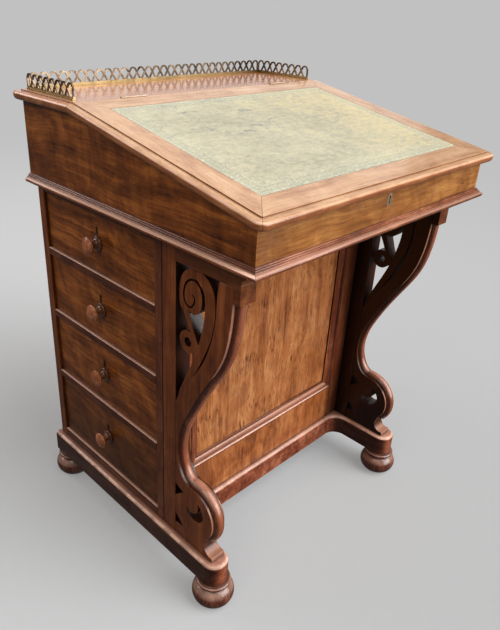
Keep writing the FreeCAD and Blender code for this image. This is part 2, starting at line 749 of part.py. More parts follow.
def bracket_roll():
    """Rounded moulding: one run down the leg, which meets a bolder one round the volute at the cusp."""
    shift = Vector(-BRACKET_THICKNESS / 2, 0, 0)
    run = curve([leg_point(p) + shift for p in LEG_FRONT])
    turn = arc(*[leg_point(p) + shift for p in (LEG_FRONT[-1], VOLUTE_SIDE, VOLUTE_UNDER)])
    ahead = (run.tangentAt(run.LastParameter) + turn.tangentAt(turn.FirstParameter)).normalize()
    leg = bracket_leg()
    leg_roll = roll_along(run, ROLL_WIDTH, ROLL_RISE)
    leg_roll = leg_roll.cut(past_cusp(ahead)).cut(bracket_rail()).cut(leg)
    volute_roll = roll_along(turn, VOLUTE_ROLL_WIDTH, VOLUTE_ROLL_RISE)
    volute_roll = volute_roll.cut(past_cusp(ahead * -1)).cut(leg)
    return [biggest(leg_roll), biggest(volute_roll)]


def past_cusp(ahead):
    """Block on one side of the joint at the cusp, large enough to hold the moulding there."""
    reach = VOLUTE_ROLL_WIDTH * 3
    start = leg_point(LEG_FRONT[-1]) + Vector(PAST, 0, 0)
    up = Vector(1, 0, 0).cross(ahead) * reach
    far = ahead * reach
    outline = [start + up, start - up, start - up + far, start + up + far]
    return polygon(outline).extrude(Vector(-BRACKET_THICKNESS - 2 * PAST, 0, 0))


def biggest(shape):
    return max(shape.Solids, key=lambda solid: solid.Volume)


def band_sides(points):
    """Both sides of a band of changing width: left and right points beside its middle line."""
    middles = [leg_point(p) for p in points]
    left, right = [], []
    for n, middle in enumerate(middles):
        before = middles[max(n - 1, 0)]
        after = middles[min(n + 1, len(middles) - 1)]
        along = (after - before).normalize()
        across = Vector(1, 0, 0).cross(along) * points[n][2]
        left.append(middle + across)
        right.append(middle - across)
    return left, right


def band(points, thickness):
    left, right = band_sides(points)
    edges = [curve(left), line(left[-1], right[-1]), curve(right), line(right[0], left[0])]
    return face_of(edges).extrude(Vector(-thickness, 0, 0))


def fret_hook():
    """Main band of the scroll. Past the gap's tip it is filled in as far as the middle of the disc."""
    left, right = band_sides(FRET_BAND)
    tip = leg_point(FRET_GAP_TIP)
    middle = leg_point(FRET_DISC)
    inner = right[:FRET_GAP_COUNT] + [tip]
    edges = [curve(left), line(left[-1], middle), line(middle, tip), curve(inner), line(right[0], left[0])]
    return face_of(edges).extrude(Vector(-FRET_THICKNESS, 0, 0))


def fret_disc():
    """Oval disc in the middle of the scroll."""
    centre = leg_point(FRET_DISC)
    ellipse = Part.Ellipse(Vector(0, 0, 0), DISC_HEIGHT / 2, DISC_WIDTH / 2)
    face = Part.Face(Part.Wire([ellipse.toShape()]))
    disc = face.extrude(Vector(0, 0, FRET_THICKNESS))
    disc.rotate(Vector(0, 0, 0), Vector(0, 1, 0), -90)
    disc.translate(centre)
    return disc


def bracket_fret():
    """Pierced scroll between the stile, the rail and the leg, with a spiral cut into both faces."""
    fret = fret_hook().fuse([band(FRET_STEM, FRET_THICKNESS), fret_disc(), curl()])
    groove = band(FRET_GROOVE, GROOVE_DEPTH)
    fret = fret.cut(groove).cut(groove.translated(Vector(GROOVE_DEPTH - FRET_THICKNESS, 0, 0)))
    fret.translate(Vector(-(BRACKET_THICKNESS - FRET_THICKNESS) / 2, 0, 0))
    for neighbour in (bracket_leg(), bracket_stile(), bracket_rail()):
        fret = fret.cut(neighbour)
    return biggest(fret.removeSplitter())


def curl():
    centre = leg_point(FRET_CURL)
    ring = rod(centre, centre - Vector(FRET_THICKNESS, 0, 0), CURL_RADIUS)
    return ring.cut(disc_at(FRET_CURL, CURL_HOLE, FRET_THICKNESS))


# ---------------------------------------------------------------- desk box

def lid_underside(y):
    """Height of the closed lid's lower face at a depth, without the gap under it."""
    return top_z - (hinge_y - y) * math.tan(slope_angle) - BOARD_THICKNESS / math.cos(slope_angle)


def box_side():
    """Box side: level under the flat top, sloping under the lid and mitred to the front."""
    y0 = box_front

    def at(y, z):
        return Vector(box_half, y, z)

    outline = [at(y0, box_floor_top), at(box_back, box_floor_top), at(box_back, board_under),
               at(hinge_y, board_under), at(hinge_y, lid_underside(hinge_y) - LID_GAP),
               at(y0, lid_underside(y0) - LID_GAP)]
    return polygon(outline).extrude(Vector(-BOX_WALL, 0, 0)).cut(before_mitre())


def before_mitre():
    """Room in front of the mitre at a front corner of the box."""
    inner = box_half - BOX_WALL
    low = box_floor_top - PAST
    outline = [Vector(box_half, box_front, low), Vector(inner, box_front + BOX_FRONT, low),
               Vector(inner, box_front, low)]
    return polygon(outline).extrude(Vector(0, 0, BOX_HEIGHT))


def box_front_board():
    """Front of the box, with its top edge planed to the slope of the lid."""
    y0, y1 = box_front, box_front + BOX_FRONT

    def at(y, z):
        return Vector(-box_half, y, z)

    outline = [at(y0, box_floor_top), at(y1, box_floor_top),
               at(y1, lid_underside(y1) - LID_GAP), at(y0, lid_underside(y0) - LID_GAP)]
    board = polygon(outline).extrude(Vector(2 * box_half, 0, 0))
    board = board.cut(box_side()).cut(flip(box_side()))
    plate, hole = lid_key()
    return board.cut(plate).cut(hole).cut(lid_lock_case())


def lid_key():
    """Keyhole plate and keyhole in the front of the box."""
    place = Vector(0, box_front, lid_underside(box_front) - LID_GAP - LID_KEY_DROP)
    plate = key_plate(plate_width + LID_PLATE_EXTRA, plate_height + LID_PLATE_EXTRA, KEY_PLATE_DEPTH)
    hole = keyhole(KEY_WIDTH, KEY_HEIGHT, BOX_FRONT)
    plate.translate(place)
    hole.translate(place)
    return plate, hole


def lid_lock_case():
    inner = box_front + BOX_FRONT
    top = lid_underside(inner - LOCK_DEPTH) - LID_GAP - LOCK_TRIM
    return block(-LOCK_WIDTH / 2, LOCK_WIDTH / 2, inner - LOCK_DEPTH, inner, top - LOCK_HEIGHT, top)


def lid_lock():
    plate, hole = lid_key()
    return [lid_lock_case().cut(hole), plate.cut(hole)]


def box_back_board():
    half = box_half - BOX_WALL
    return block(-half, half, box_back - BOX_WALL, box_back, box_floor_top, board_under)


def box_floor():
    return block(-box_half, box_half, box_front, box_back, case_top, box_floor_top)


def ledge_section():
    """Section of the ledge moulding: a rounded nose below and reeds on the slope above it."""
    half_nose = LEDGE_NOSE / 2
    inner = LEDGE_OUT - half_nose
    foot = flat(inner, case_top)
    shoulder = flat(inner, case_top + LEDGE_NOSE)
    rim = flat(REED_RISE, case_top + LEDGE_HEIGHT)
    edges = [arc(foot, flat(LEDGE_OUT, case_top + half_nose), shoulder)]
    step = (rim - shoulder) * (1 / REED_COUNT)
    out = Vector(-step.z, 0, step.x).normalize() * -REED_RISE
    for n in range(REED_COUNT):
        start = shoulder + step * n
        edges.append(arc(start, start + step * 0.5 + out, start + step))
    edges += open_chain([rim, flat(0, case_top + LEDGE_HEIGHT), flat(0, case_top), foot])
    return face_of(edges)


def ledge_moulding():
    """Reeded moulding round the foot of the box: two sides and the front, mitred at the front corners."""
    length = BOX_DEPTH + LEDGE_OUT
    side = ledge_section().extrude(Vector(0, length, 0))
    side.translate(Vector(box_half, box_front - LEDGE_OUT, 0))
    front = ledge_section()
    front.rotate(Vector(0, 0, 0), Vector(0, 0, 1), -90)
    front = front.extrude(Vector(2 * (box_half + LEDGE_OUT), 0, 0))
    front.translate(Vector(-box_half - LEDGE_OUT, box_front, 0))
    reach = LEDGE_OUT + PAST
    corner = Vector(box_half, box_front, case_top - PAST)
    tip = corner + Vector(reach, -reach, 0)
    rise = Vector(0, 0, LEDGE_HEIGHT + 2 * PAST)
    past = polygon([corner, tip, Vector(corner.x, tip.y, corner.z)]).extrude(rise)
    side = side.cut(past)
    front = front.cut(side).cut(flip(side))
    return [flip(side), biggest(front), side]


# ---------------------------------------------------------------- flat top and lid

def moulded_board(length, joint):
    """Board drawn level with its joint at the hinge line and its length towards -Y.

    Its other three edges have a small square step, a narrow flat and a rounded nose.
    """
    end = -length - NOSE_OUT
    board = round_cornered(nose_half, end, joint, NOSE_CORNER, -BOARD_THICKNESS, -EDGE_STEP)
    board = board.makeFillet(EDGE_ROUND, rim_edges(board, -EDGE_STEP, joint))
    board = board.makeFillet(EDGE_ROUND_UNDER, rim_edges(board, -BOARD_THICKNESS, joint))
    step = round_cornered(step_half, -length, joint, STEP_CORNER, -EDGE_STEP, 0)
    return board.fuse(step).removeSplitter()


def round_cornered(half, end, joint, corner, low, high):
    """Level slab from the joint to its end, with its two corners there rounded."""
    bend = corner * (1 - math.sqrt(0.5))

    def at(x, y):
        return Vector(x, y, low)

    edges = [line(at(-half, -joint), at(half, -joint)),
             line(at(half, -joint), at(half, end + corner)),
             arc(at(half, end + corner), at(half - bend, end + bend), at(half - corner, end)),
             line(at(half - corner, end), at(-half + corner, end)),
             arc(at(-half + corner, end), at(-half + bend, end + bend), at(-half, end + corner)),
             line(at(-half, end + corner), at(-half, -joint))]
    return face_of(edges).extrude(Vector(0, 0, high - low))


def rim_edges(board, level, joint):
    """Edges of a board at one level, without the straight one at its joint."""
    picked = []
    for edge in board.Edges:
        box = edge.BoundBox
        at_level = abs(box.ZMin - level) < NEAR and box.ZLength < NEAR
        if at_level and box.YMin < -joint - NEAR:
            picked.append(edge)
    return picked


def top_board():
    board = moulded_board(TOP_DEPTH, LID_JOINT)
    board.rotate(Vector(0, 0, 0), Vector(0, 0, 1), 180)
    board.translate(Vector(0, hinge_y, top_z))
    return board.cut(hinge_room())


def leather_bed(depth):
    """The field that the leather fills, in the lid drawn level."""
    half = step_half - MARGIN
    return block(-half, half, -lid_length + MARGIN, -MARGIN_BACK, -depth, 0)


def at_hinge(shape):
    """Moves a piece drawn at the hinge line as origin to its place on the closed lid."""
    out = shape.copy()
    out.translate(Vector(0, hinge_y, top_z))
    return tilt(out)


def lid_board():
    """Lid with its moulded edge, the bed of the leather and the seats of hinges and strike."""
    board = moulded_board(lid_length, LID_JOINT).cut(leather_bed(LEATHER + LEATHER_SINK))
    lid = at_hinge(board)
    lid = lid.cut(joint_wedge())
    return lid.cut(hinge_room()).cut(lid_strike())


def joint_wedge():
    """Room behind the lid's joint face, so that the face is upright when the lid is closed."""
    half = nose_half + PAST
    deep = BOARD_THICKNESS * 2
    return block(-half, half, hinge_y - LID_JOINT, hinge_y + deep, top_z - deep, top_z + deep)


def lid_leather():
    sheet = leather_bed(LEATHER + LEATHER_SINK).cut(leather_bed(LEATHER_SINK))
    return at_hinge(sheet)


def lid_strike():
    """Brass strike let into the lid over the lock."""
    half = STRIKE_LENGTH / 2
    reach = (hinge_y - box_front - BOX_FRONT + LOCK_DEPTH / 2) / math.cos(slope_angle)
    near, far = -reach - STRIKE_WIDTH / 2, -reach + STRIKE_WIDTH / 2
    return at_hinge(block(-half, half, near, far, -BOARD_THICKNESS, -BOARD_THICKNESS + STRIKE_THICKNESS))


# ---------------------------------------------------------------- hinges

def knuckle_spans():
    """Lengths of the three knuckles of one hinge, from its middle."""
    half = HINGE_LENGTH / 2
    inner = HINGE_LENGTH / 6
    return [(-half, -inner - HINGE_GAP), (-inner, inner), (inner + HINGE_GAP, half)]


def knuckle(x, span, radius):
    axis = Vector(x, hinge_y, hinge_axis_z)
    return rod(axis + Vector(span[0], 0, 0), axis + Vector(span[1], 0, 0), radius)


def hinge_room():
    """Grooves that both boards give to the knuckles, and the seats of the leaves."""
    half = HINGE_LENGTH / 2 + HINGE_GAP
    pieces = []
    for x in (-HINGE_SPREAD, HINGE_SPREAD):
        pieces.append(knuckle(x, (-half, half), HINGE_KNUCKLE + HINGE_GAP))
        for side in (1, -1):
            pieces.append(leaf(x, side, (-half, half), hinge_axis_z))
    return Part.makeCompound(pieces)


def leaf(x, side, span, top):
    """Leaf on the joint face of the top board (side 1) or of the lid (side -1), up to a height."""
    near = hinge_y + side * LID_JOINT
    far = near + side * HINGE_THICKNESS
    low = hinge_axis_z - HINGE_KNUCKLE - HINGE_GAP - HINGE_LEAF
    return block(x + span[0], x + span[1], near, far, low, top)


def hinge_part(x, side, spans):
    """One leaf with its knuckles, joined by a web that follows the joint face."""
    half = HINGE_LENGTH / 2
    part = leaf(x, side, (-half, half), hinge_axis_z - HINGE_KNUCKLE - HINGE_GAP)
    for span in spans:
        web = leaf(x, side, span, hinge_axis_z)
        part = part.fuse(web).fuse(knuckle(x, span, HINGE_KNUCKLE))
    return part.removeSplitter()


def hinge_fixed():
    """Leaves on the top board, each with its two outer knuckles and the pin."""
    pieces = []
    for x in (-HINGE_SPREAD, HINGE_SPREAD):
        spans = knuckle_spans()
        pin = knuckle(x, (spans[0][0], spans[2][1]), HINGE_PIN)
        pieces.append(hinge_part(x, 1, [spans[0], spans[2]]).fuse(pin).removeSplitter())
    return pieces


def hinge_moving():
    """Leaves on the lid, each with its middle knuckle bored for the pin."""
    pieces = []
    for x in (-HINGE_SPREAD, HINGE_SPREAD):
        span = knuckle_spans()[1]
        bore = knuckle(x, (span[0] - PAST, span[1] + PAST), HINGE_PIN + PEG_GAP)
        pieces.append(hinge_part(x, -1, [span]).cut(bore))
    return pieces


# ---------------------------------------------------------------- pigeonholes and gallery

def nest_front():
    return hinge_y + NEST_SETBACK


def nest_bounds():
    half = box_half - BOX_WALL
    return half, nest_front(), box_back - BOX_WALL


def nest():
    """Open nest of pigeonholes: one shelf and upright divisions under and over it."""
    half, front, back = nest_bounds()
    shelf_low = box_floor_top + NEST_SHELF
    shelf_high = shelf_low + NEST_WALL
    pieces = [block(-half, half, front, back, shelf_low, shelf_high)]
    column = 2 * half / NEST_COLUMNS
    for n in range(1, NEST_COLUMNS):
        x = -half + n * column
        for low, high in ((box_floor_top, shelf_low), (shelf_high, board_under)):
            pieces.append(block(x - NEST_WALL / 2, x + NEST_WALL / 2, front, back, low, high))
    return pieces


def arch(pitch):
    """One arch of the gallery in the XZ plane: a round crown with two straight legs, a pitch to each side."""
    foot_z = GALLERY_BAND - ARCH_ROOT
    crown_z = GALLERY_HEIGHT - GALLERY_CROWN
    drop = crown_z - foot_z
    reach = math.hypot(pitch, drop)
    turn = math.acos(GALLERY_CROWN / reach) - math.atan2(drop, pitch)

    def side(radius, sign):
        tangent = Vector(sign * radius * math.cos(turn), 0, crown_z + radius * math.sin(turn))
        slide = math.sqrt(reach ** 2 - GALLERY_CROWN ** 2)
        foot = tangent + Vector(sign * math.sin(turn), 0, -math.cos(turn)) * slide
        return tangent, foot

    inner = GALLERY_CROWN - GALLERY_WIRE
    outer_left, outer_left_foot = side(GALLERY_CROWN, -1)
    outer_right, outer_right_foot = side(GALLERY_CROWN, 1)
    inner_left, inner_left_foot = side(inner, -1)
    inner_right, inner_right_foot = side(inner, 1)
    edges = [arc(outer_left, Vector(0, 0, GALLERY_HEIGHT), outer_right),
             line(outer_right, outer_right_foot),
             line(outer_right_foot, inner_right_foot),
             line(inner_right_foot, inner_right),
             arc(inner_right, Vector(0, 0, GALLERY_HEIGHT - GALLERY_WIRE), inner_left),
             line(inner_left, inner_left_foot),
             line(inner_left_foot, outer_left_foot),
             line(outer_left_foot, outer_left)]
    return face_of(edges).extrude(Vector(0, GALLERY_THICKNESS, 0))


def gallery_run(length):
    """Straight length of gallery from x = 0 to x = length, standing on its band."""
    count = max(2, round(length / GALLERY_PITCH))
    pitch = length / count
    spread = (GALLERY_FOOT - GALLERY_THICKNESS) / 2
    run = block(0, length, -spread, GALLERY_THICKNESS + spread, 0, GALLERY_BAND / 2)
    run = run.fuse(block(0, length, 0, GALLERY_THICKNESS, 0, GALLERY_BAND))
    arches = []
    for n in range(count):
        shape = arch(pitch)
        shape.translate(Vector((n + 0.5) * pitch, 0, 0))
        arches.append(shape)
    whole = run.fuse(arches)
    keep = block(0, length, -GALLERY_FOOT, GALLERY_FOOT, 0, GALLERY_HEIGHT)
    post = block(0, GALLERY_WIRE, 0, GALLERY_THICKNESS, 0, GALLERY_HEIGHT - GALLERY_CROWN)
    far_post = post.translated(Vector(length - GALLERY_WIRE, 0, 0))
    return whole.common(keep).fuse([post, far_post]).removeSplitter()


def gallery():
    """Pierced brass gallery: two returns and the back length between them."""
    line_x = step_half - GALLERY_INSET
    back_y = step_back - GALLERY_INSET
    front_y = hinge_y + GALLERY_FRONT
    side_run = gallery_run(back_y - front_y)
    side_run.rotate(Vector(0, 0, 0), Vector(0, 0, 1), 90)
    side_run.translate(Vector(line_x, front_y, top_z))
    inner = line_x - GALLERY_THICKNESS - (GALLERY_FOOT - GALLERY_THICKNESS) / 2
    back_run = gallery_run(2 * inner)
    back_run.translate(Vector(-inner, back_y - GALLERY_THICKNESS, top_z))
    return [flip(side_run), back_run, side_run]


# ---------------------------------------------------------------- the pieces, by node name

def sided(name, shape):
    """Two mirrored nodes from a piece drawn on the +X side."""
    return {name + "_left": flip(shape), name + "_right": shape}


def all_nodes():
    nodes = {}
    for row, y in (("front", foot_front_y), ("back", foot_back_y)):
        nodes["foot_" + row + "_left"] = foot(-foot_x, y)
        nodes["foot_" + row + "_right"] = foot(foot_x, y)
    nodes.update(sided("plinth_side", plinth_side()))
    nodes["plinth_rails"] = [plinth_front_rail(), plinth_back_rail()]
    nodes.update(sided("front_stile", front_stile()))
    nodes["front_rails"] = front_rails()
    nodes["front_panel"] = front_panel()
    nodes["front_panel_moulding"] = front_panel_moulding()
    nodes["back_posts"] = [flip(back_post()), back_post()]
    nodes["back_panel"] = back_panel()
    nodes["drawer_blades"] = drawer_blades()
    nodes["drawer_runners"] = drawer_runners()
    nodes["far_side_panel"] = far_side_panel()
    nodes["far_side_rails"] = far_side_rails()
    nodes["far_side_knobs"] = far_side_knobs()
    for index in range(DRAWER_COUNT):
        name = "drawer_%d" % (index + 1)
        nodes[name + "_front"] = drawer_front(index)
        nodes[name + "_box"] = drawer_box(index)
        nodes[name + "_knob"] = knob(knob_heights[index])
        nodes[name + "_lock"] = drawer_lock(index)
    nodes.update(bracket_nodes())
    nodes.update(desk_box_nodes())
    return nodes


def bracket_nodes():
    nodes = {}
    nodes.update(sided("bracket_stile", bracket_stile()))
    nodes.update(sided("bracket_rail", bracket_rail()))
    nodes.update(sided("bracket_leg", bracket_leg()))
    nodes.update(sided("bracket_fret", bracket_fret()))
    nodes.update(sided("bracket_roll", Part.makeCompound(bracket_roll())))
    return nodes


def desk_box_nodes():
    nodes = sided("box_side", box_side())
    nodes["box_front"] = box_front_board()
    nodes["box_back"] = box_back_board()
    nodes["box_floor"] = box_floor()
    nodes["ledge_moulding"] = ledge_moulding()
    nodes["top_board"] = top_board()
    nodes["gallery"] = gallery()
    nodes["nest"] = nest()
    nodes["lid_lock"] = lid_lock()
    nodes["lid_board"] = lid_board()
    nodes["lid_leather"] = lid_leather()
    nodes["lid_strike"] = lid_strike()
    nodes["hinge_fixed"] = hinge_fixed()
    nodes["hinge_moving"] = hinge_moving()
    return nodes


def main():
    os.makedirs("parts", exist_ok=True)
    for name, shape in all_nodes().items():
        if isinstance(shape, list):
            shape = Part.makeCompound(shape)
        shape.exportStep("parts/" + name + ".step")
        facts = (name, len(shape.Solids), shape.Volume, shape.isValid())
        print("%-24s solids %2d  volume %12.1f  valid %s" % facts)


main()
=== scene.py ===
"""Finish, light and camera for the davenport desk. Lengths are in metres, +Z up."""

import json
import math

import bpy
from mathutils import Matrix, Vector


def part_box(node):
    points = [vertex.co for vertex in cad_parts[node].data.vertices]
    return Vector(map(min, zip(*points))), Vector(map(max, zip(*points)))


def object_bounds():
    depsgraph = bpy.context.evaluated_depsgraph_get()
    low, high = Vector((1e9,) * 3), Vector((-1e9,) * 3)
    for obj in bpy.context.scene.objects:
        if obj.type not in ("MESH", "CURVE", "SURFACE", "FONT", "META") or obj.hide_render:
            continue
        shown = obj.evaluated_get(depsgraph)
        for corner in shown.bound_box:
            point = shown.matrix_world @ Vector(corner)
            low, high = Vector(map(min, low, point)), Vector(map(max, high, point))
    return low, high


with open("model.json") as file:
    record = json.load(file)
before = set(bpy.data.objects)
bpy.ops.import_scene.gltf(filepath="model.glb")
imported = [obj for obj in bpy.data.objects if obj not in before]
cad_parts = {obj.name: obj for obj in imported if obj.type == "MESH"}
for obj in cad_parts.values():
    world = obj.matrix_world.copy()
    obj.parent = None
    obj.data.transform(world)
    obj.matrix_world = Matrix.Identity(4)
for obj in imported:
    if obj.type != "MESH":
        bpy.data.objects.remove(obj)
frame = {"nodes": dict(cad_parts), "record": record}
cad_box = [list(corner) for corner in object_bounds()]
parts = frame["nodes"]


# ---------------------------------------------------------------- places on the desk

LEATHER_LOW, LEATHER_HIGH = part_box("lid_leather")
LID_SLOPE = math.radians(10.6)
GALLERY_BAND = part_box("gallery")[0].z + 0.005       # top of the solid band under the arches
BRACKET_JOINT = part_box("bracket_stile_left")[1].y   # where the brackets stand against the case
BRACKET_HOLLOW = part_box("bracket_leg_left")[0].y + 0.04
CASE_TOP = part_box("front_stile_left")[1].z
PANEL_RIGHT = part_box("front_panel")[1].x
LEDGE_CROWN = CASE_TOP + 0.0074                     # fullest line of the ledge moulding, under its reeds
LEDGE_WIDTH = 0.03
BEAD_WIDTH = 0.04                                   # of the panel moulding
KNOB_NECK = 0.0085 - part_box("drawer_1_front")[0].x  # how far out from the middle of the desk


# ---------------------------------------------------------------- tones

def tone(red, green, blue):
    """Colour from 0-255 display values."""
    def linear(value):
        value /= 255
        return value / 12.92 if value <= 0.04045 else ((value + 0.055) / 1.055) ** 2.4

    return (linear(red), linear(green), linear(blue), 1.0)


def palette(*colours):
    return tuple(tone(*colour) for colour in colours)


# Woods, each with its dark, middle and light tone.
WALNUT = palette((78, 36, 13), (138, 74, 32), (180, 106, 50))
FRAME = palette((80, 34, 16), (142, 76, 42), (182, 112, 70))
RAIL = palette((86, 38, 16), (154, 88, 46), (196, 128, 76))
DEEP = palette((62, 26, 12), (116, 60, 28), (156, 90, 48))
PLINTH = palette((66, 24, 12), (128, 66, 42), (176, 112, 84))
SIDE = palette((56, 22, 8), (132, 72, 29), (192, 116, 52))
BOX_SIDE = palette((50, 20, 8), (122, 66, 27), (182, 110, 50))
FRONT = palette((76, 38, 14), (142, 88, 40), (186, 130, 70))
PANEL = palette((92, 42, 18), (164, 100, 56), (206, 144, 92))
# TOP and LID are lighter tones for the faces that look up: painted light
TOP = palette((142, 78, 42), (184, 114, 68), (208, 146, 100))
LID = palette((146, 96, 62), (190, 144, 104), (216, 178, 138))
EDGE = palette((92, 46, 22), (146, 88, 52), (186, 128, 84))
TURNED = palette((104, 54, 28), (166, 96, 58), (216, 158, 122))
ROLL = palette((58, 20, 12), (100, 47, 28), (168, 100, 70))
FOOT = palette((40, 14, 9), (84, 42, 30), (140, 92, 72))
BLADE = palette((42, 18, 10), (84, 42, 24), (126, 76, 52))
LEDGE = palette((62, 26, 12), (128, 70, 42), (184, 122, 92))
BEAD = palette((56, 20, 10), (112, 54, 30), (164, 98, 62))
LINING = palette((108, 72, 44), (150, 108, 70), (180, 140, 98))

# Marks of age on the wood, and painted light and shade.
# dark of real joints and grime, and of painted shade in many of the marks below
SOOT_AND_SHADE = tone(22, 8, 5)
GREY_BLOOM = tone(118, 104, 92)
# painted sheen on faces that look up, and a painted highlight on the front edge of the bracket legs
PAINTED_SHEEN = tone(206, 160, 138)
# painted highlight on rounded edges and on the crown of the ledge moulding
ARRIS_HIGHLIGHT = tone(236, 190, 166)
# painted shade on faces that look inwards
INNER_SHADE = tone(20, 4, 3)
# painted shade in dark red beside the right bracket
BRACKET_SHADE_RED = tone(54, 14, 6)
NECK_DARK = tone(20, 12, 12)
MITRE_LINE = tone(52, 24, 12)

HIDE = palette((140, 136, 118), (174, 170, 147), (198, 192, 164))
HIDE_YELLOW = tone(210, 190, 134)
HIDE_SCUFF = tone(112, 116, 114)
HIDE_BLOT = tone(150, 142, 122)
HIDE_BARE = tone(222, 222, 204)
HIDE_BORDER = tone(186, 192, 170)
HIDE_TOOLED = tone(128, 120, 92)
HIDE_CUT = tone(70, 62, 50)

# Metals, each bright and then dull.
BRONZE = palette((144, 124, 102), (54, 42, 33))
LOCK = palette((150, 104, 62), (88, 54, 30))
LID_LOCK = palette((206, 180, 146), (110, 80, 56))
HINGE = palette((186, 162, 144), (140, 116, 100))
CLEAN_BAND = tone(176, 150, 106)

PALE = tone(193, 193, 193)
FLOOR = palette((184, 185, 186), (189, 190, 191))


# ---------------------------------------------------------------- painting tools

MIX_SHARE, MIX_ONE, MIX_TWO, MIX_OUT = 0, 6, 7, 2  # colour sockets of a Mix node, whose names repeat
LINE_CORE = 0.35                                   # part of a drawn line's reach that is full


class Paint:
    """One material and short names for the nodes it is made of."""

    def __init__(self, name):
        self.material = bpy.data.materials.new(name)
        self.material.use_nodes = True
        self.tree = self.material.node_tree
        self.tree.nodes.clear()
        own = self.add("TexCoord").outputs
        self.place = own["Object"]
        self.at = self.split(self.place)
        self.facing = self.split(own["Normal"])

    def add(self, kind, inputs=None, **settings):
        node = self.tree.nodes.new("ShaderNode" + kind)
        for name, value in settings.items():
            setattr(node, name, value)
        for name, value in (inputs or {}).items():
            self.put(node.inputs[name], value)
        return node

    def put(self, socket, value):
        if isinstance(value, bpy.types.NodeSocket):
            self.tree.links.new(value, socket)
        else:
            socket.default_value = value

    def math(self, operation, *values, clamp=False):
        node = self.add("Math", operation=operation, use_clamp=clamp)
        for socket, value in zip(node.inputs, values):
            self.put(socket, value)
        return node.outputs[0]

    def plus(self, one, two):
        return self.math("ADD", one, two)

    def minus(self, one, two):
        return self.math("SUBTRACT", one, two)

    def times(self, one, two):
        return self.math("MULTIPLY", one, two)

    def size(self, value):
        return self.math("ABSOLUTE", value)

    def vector(self, operation, *values):
        node = self.add("VectorMath", operation=operation)
        for socket, value in zip(node.inputs, values):
            self.put(socket, value)
        return node.outputs["Value" if operation in ("DOT_PRODUCT", "LENGTH") else "Vector"]

    def split(self, vector):
        return self.add("SeparateXYZ", {"Vector": vector}).outputs

    def mix(self, share, one, two):
        sockets = {MIX_SHARE: share, MIX_ONE: one, MIX_TWO: two}
        return self.add("Mix", sockets, data_type="RGBA", clamp_factor=True).outputs[MIX_OUT]

    def between(self, value, low, high, out_low=0.0, out_high=1.0):
        """Value carried smoothly from one range to another, and held at its ends."""
        names = ("Value", "From Min", "From Max", "To Min", "To Max")
        inputs = dict(zip(names, (value, low, high, out_low, out_high)))
        return self.add("MapRange", inputs, interpolation_type="SMOOTHSTEP").outputs[0]

    def near(self, value, middle, reach):
        """1 where a value is close to its middle, as across a drawn line, and 0 beyond its reach."""
        away = self.size(self.minus(value, middle))
        return self.between(away, reach, reach * LINE_CORE)

    def noise(self, vector, scale, detail=3.0, rough=0.5, twist=0.0):
        inputs = {"Vector": vector, "Scale": scale, "Detail": detail, "Roughness": rough,
                  "Distortion": twist}
        return self.add("TexNoise", inputs).outputs["Fac"]

    def cells(self, vector, scale):
        return self.add("TexVoronoi", {"Vector": vector, "Scale": scale}).outputs["Distance"]

    def ramp(self, value, places, shades):
        node = self.add("ValToRGB", {"Fac": value})
        points = node.color_ramp.elements
        for _ in places[2:]:
            points.new(0.5)
        for point, place, shade in zip(points, places, shades):
            point.position = place
            point.color = shade
        return node.outputs[0]

    def recess(self, reach):
        """0 in corners and joints, 1 in the open."""
        return self.add("AmbientOcclusion", {"Distance": reach}, samples=6).outputs["AO"]

    def edge(self, radius):
        """1 along sharp edges, 0 on flat faces."""
        rounded = self.add("Bevel", {"Radius": radius}, samples=4).outputs[0]
        flat = self.add("NewGeometry").outputs["Normal"]
        alike = self.vector("DOT_PRODUCT", rounded, flat)
        return self.between(alike, 0.999, 0.86)

    def finish(self, colour, roughness, height, depth, strength, **shader):
        """Joins the colour, the roughness and a bump of the given depth, and returns the material."""
        bump = self.add("Bump", {"Height": height, "Distance": depth, "Strength": strength})
        surface = self.add("BsdfPrincipled", {"Base Color": colour, "Roughness": roughness})
        self.put(surface.inputs["Normal"], bump.outputs[0])
        for name, value in shader.items():
            surface.inputs[name.replace("_", " ")].default_value = value
        output = self.add("OutputMaterial")
        self.tree.links.new(surface.outputs[0], output.inputs[0])
        return self.material


# ---------------------------------------------------------------- wood

ALONG = {"X": (1.0, 9.0, 9.0), "Y": (9.0, 1.0, 9.0), "Z": (9.0, 9.0, 1.0)}      # stretch of the grain
RIPPLE = {"X": (24.0, 6.0, 6.0), "Y": (6.0, 24.0, 6.0), "Z": (6.0, 6.0, 24.0)}  # stretch of the curl
TONE_PLACES = (0.30, 0.50, 0.70)   # where the pattern shows the dark, middle and light tone
DEEPER = 0.4                       # tone of pores and ticks against the dark tone
BOARD_SPREAD = (3.1, 5.3, 4.7)     # how far apart the boards lie in the pattern
SWAY = 0.035                       # how far the grain wanders
UP_TURN = 0.5                      # how gradually bleaching comes as a face turns up
PORE_SHARE = 0.5
# painted shade down the flanks of a half-round moulding
CROWN_FLANK_SHADE = 0.38                  # down the flanks of a half-round moulding
# painted shade on the reeds of the ledge moulding
REED_SHADE = 0.3
HOLLOW_EDGE_HIGHLIGHT = 0.32                 # painted highlight on the bracket leg's front edge
MITRE_SHARE = 0.7


def inside_of(name, width):
    """Box that a frame of a given width leaves open."""
    low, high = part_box(name)
    edge = Vector((width, width, width))
    return low + edge, high - edge


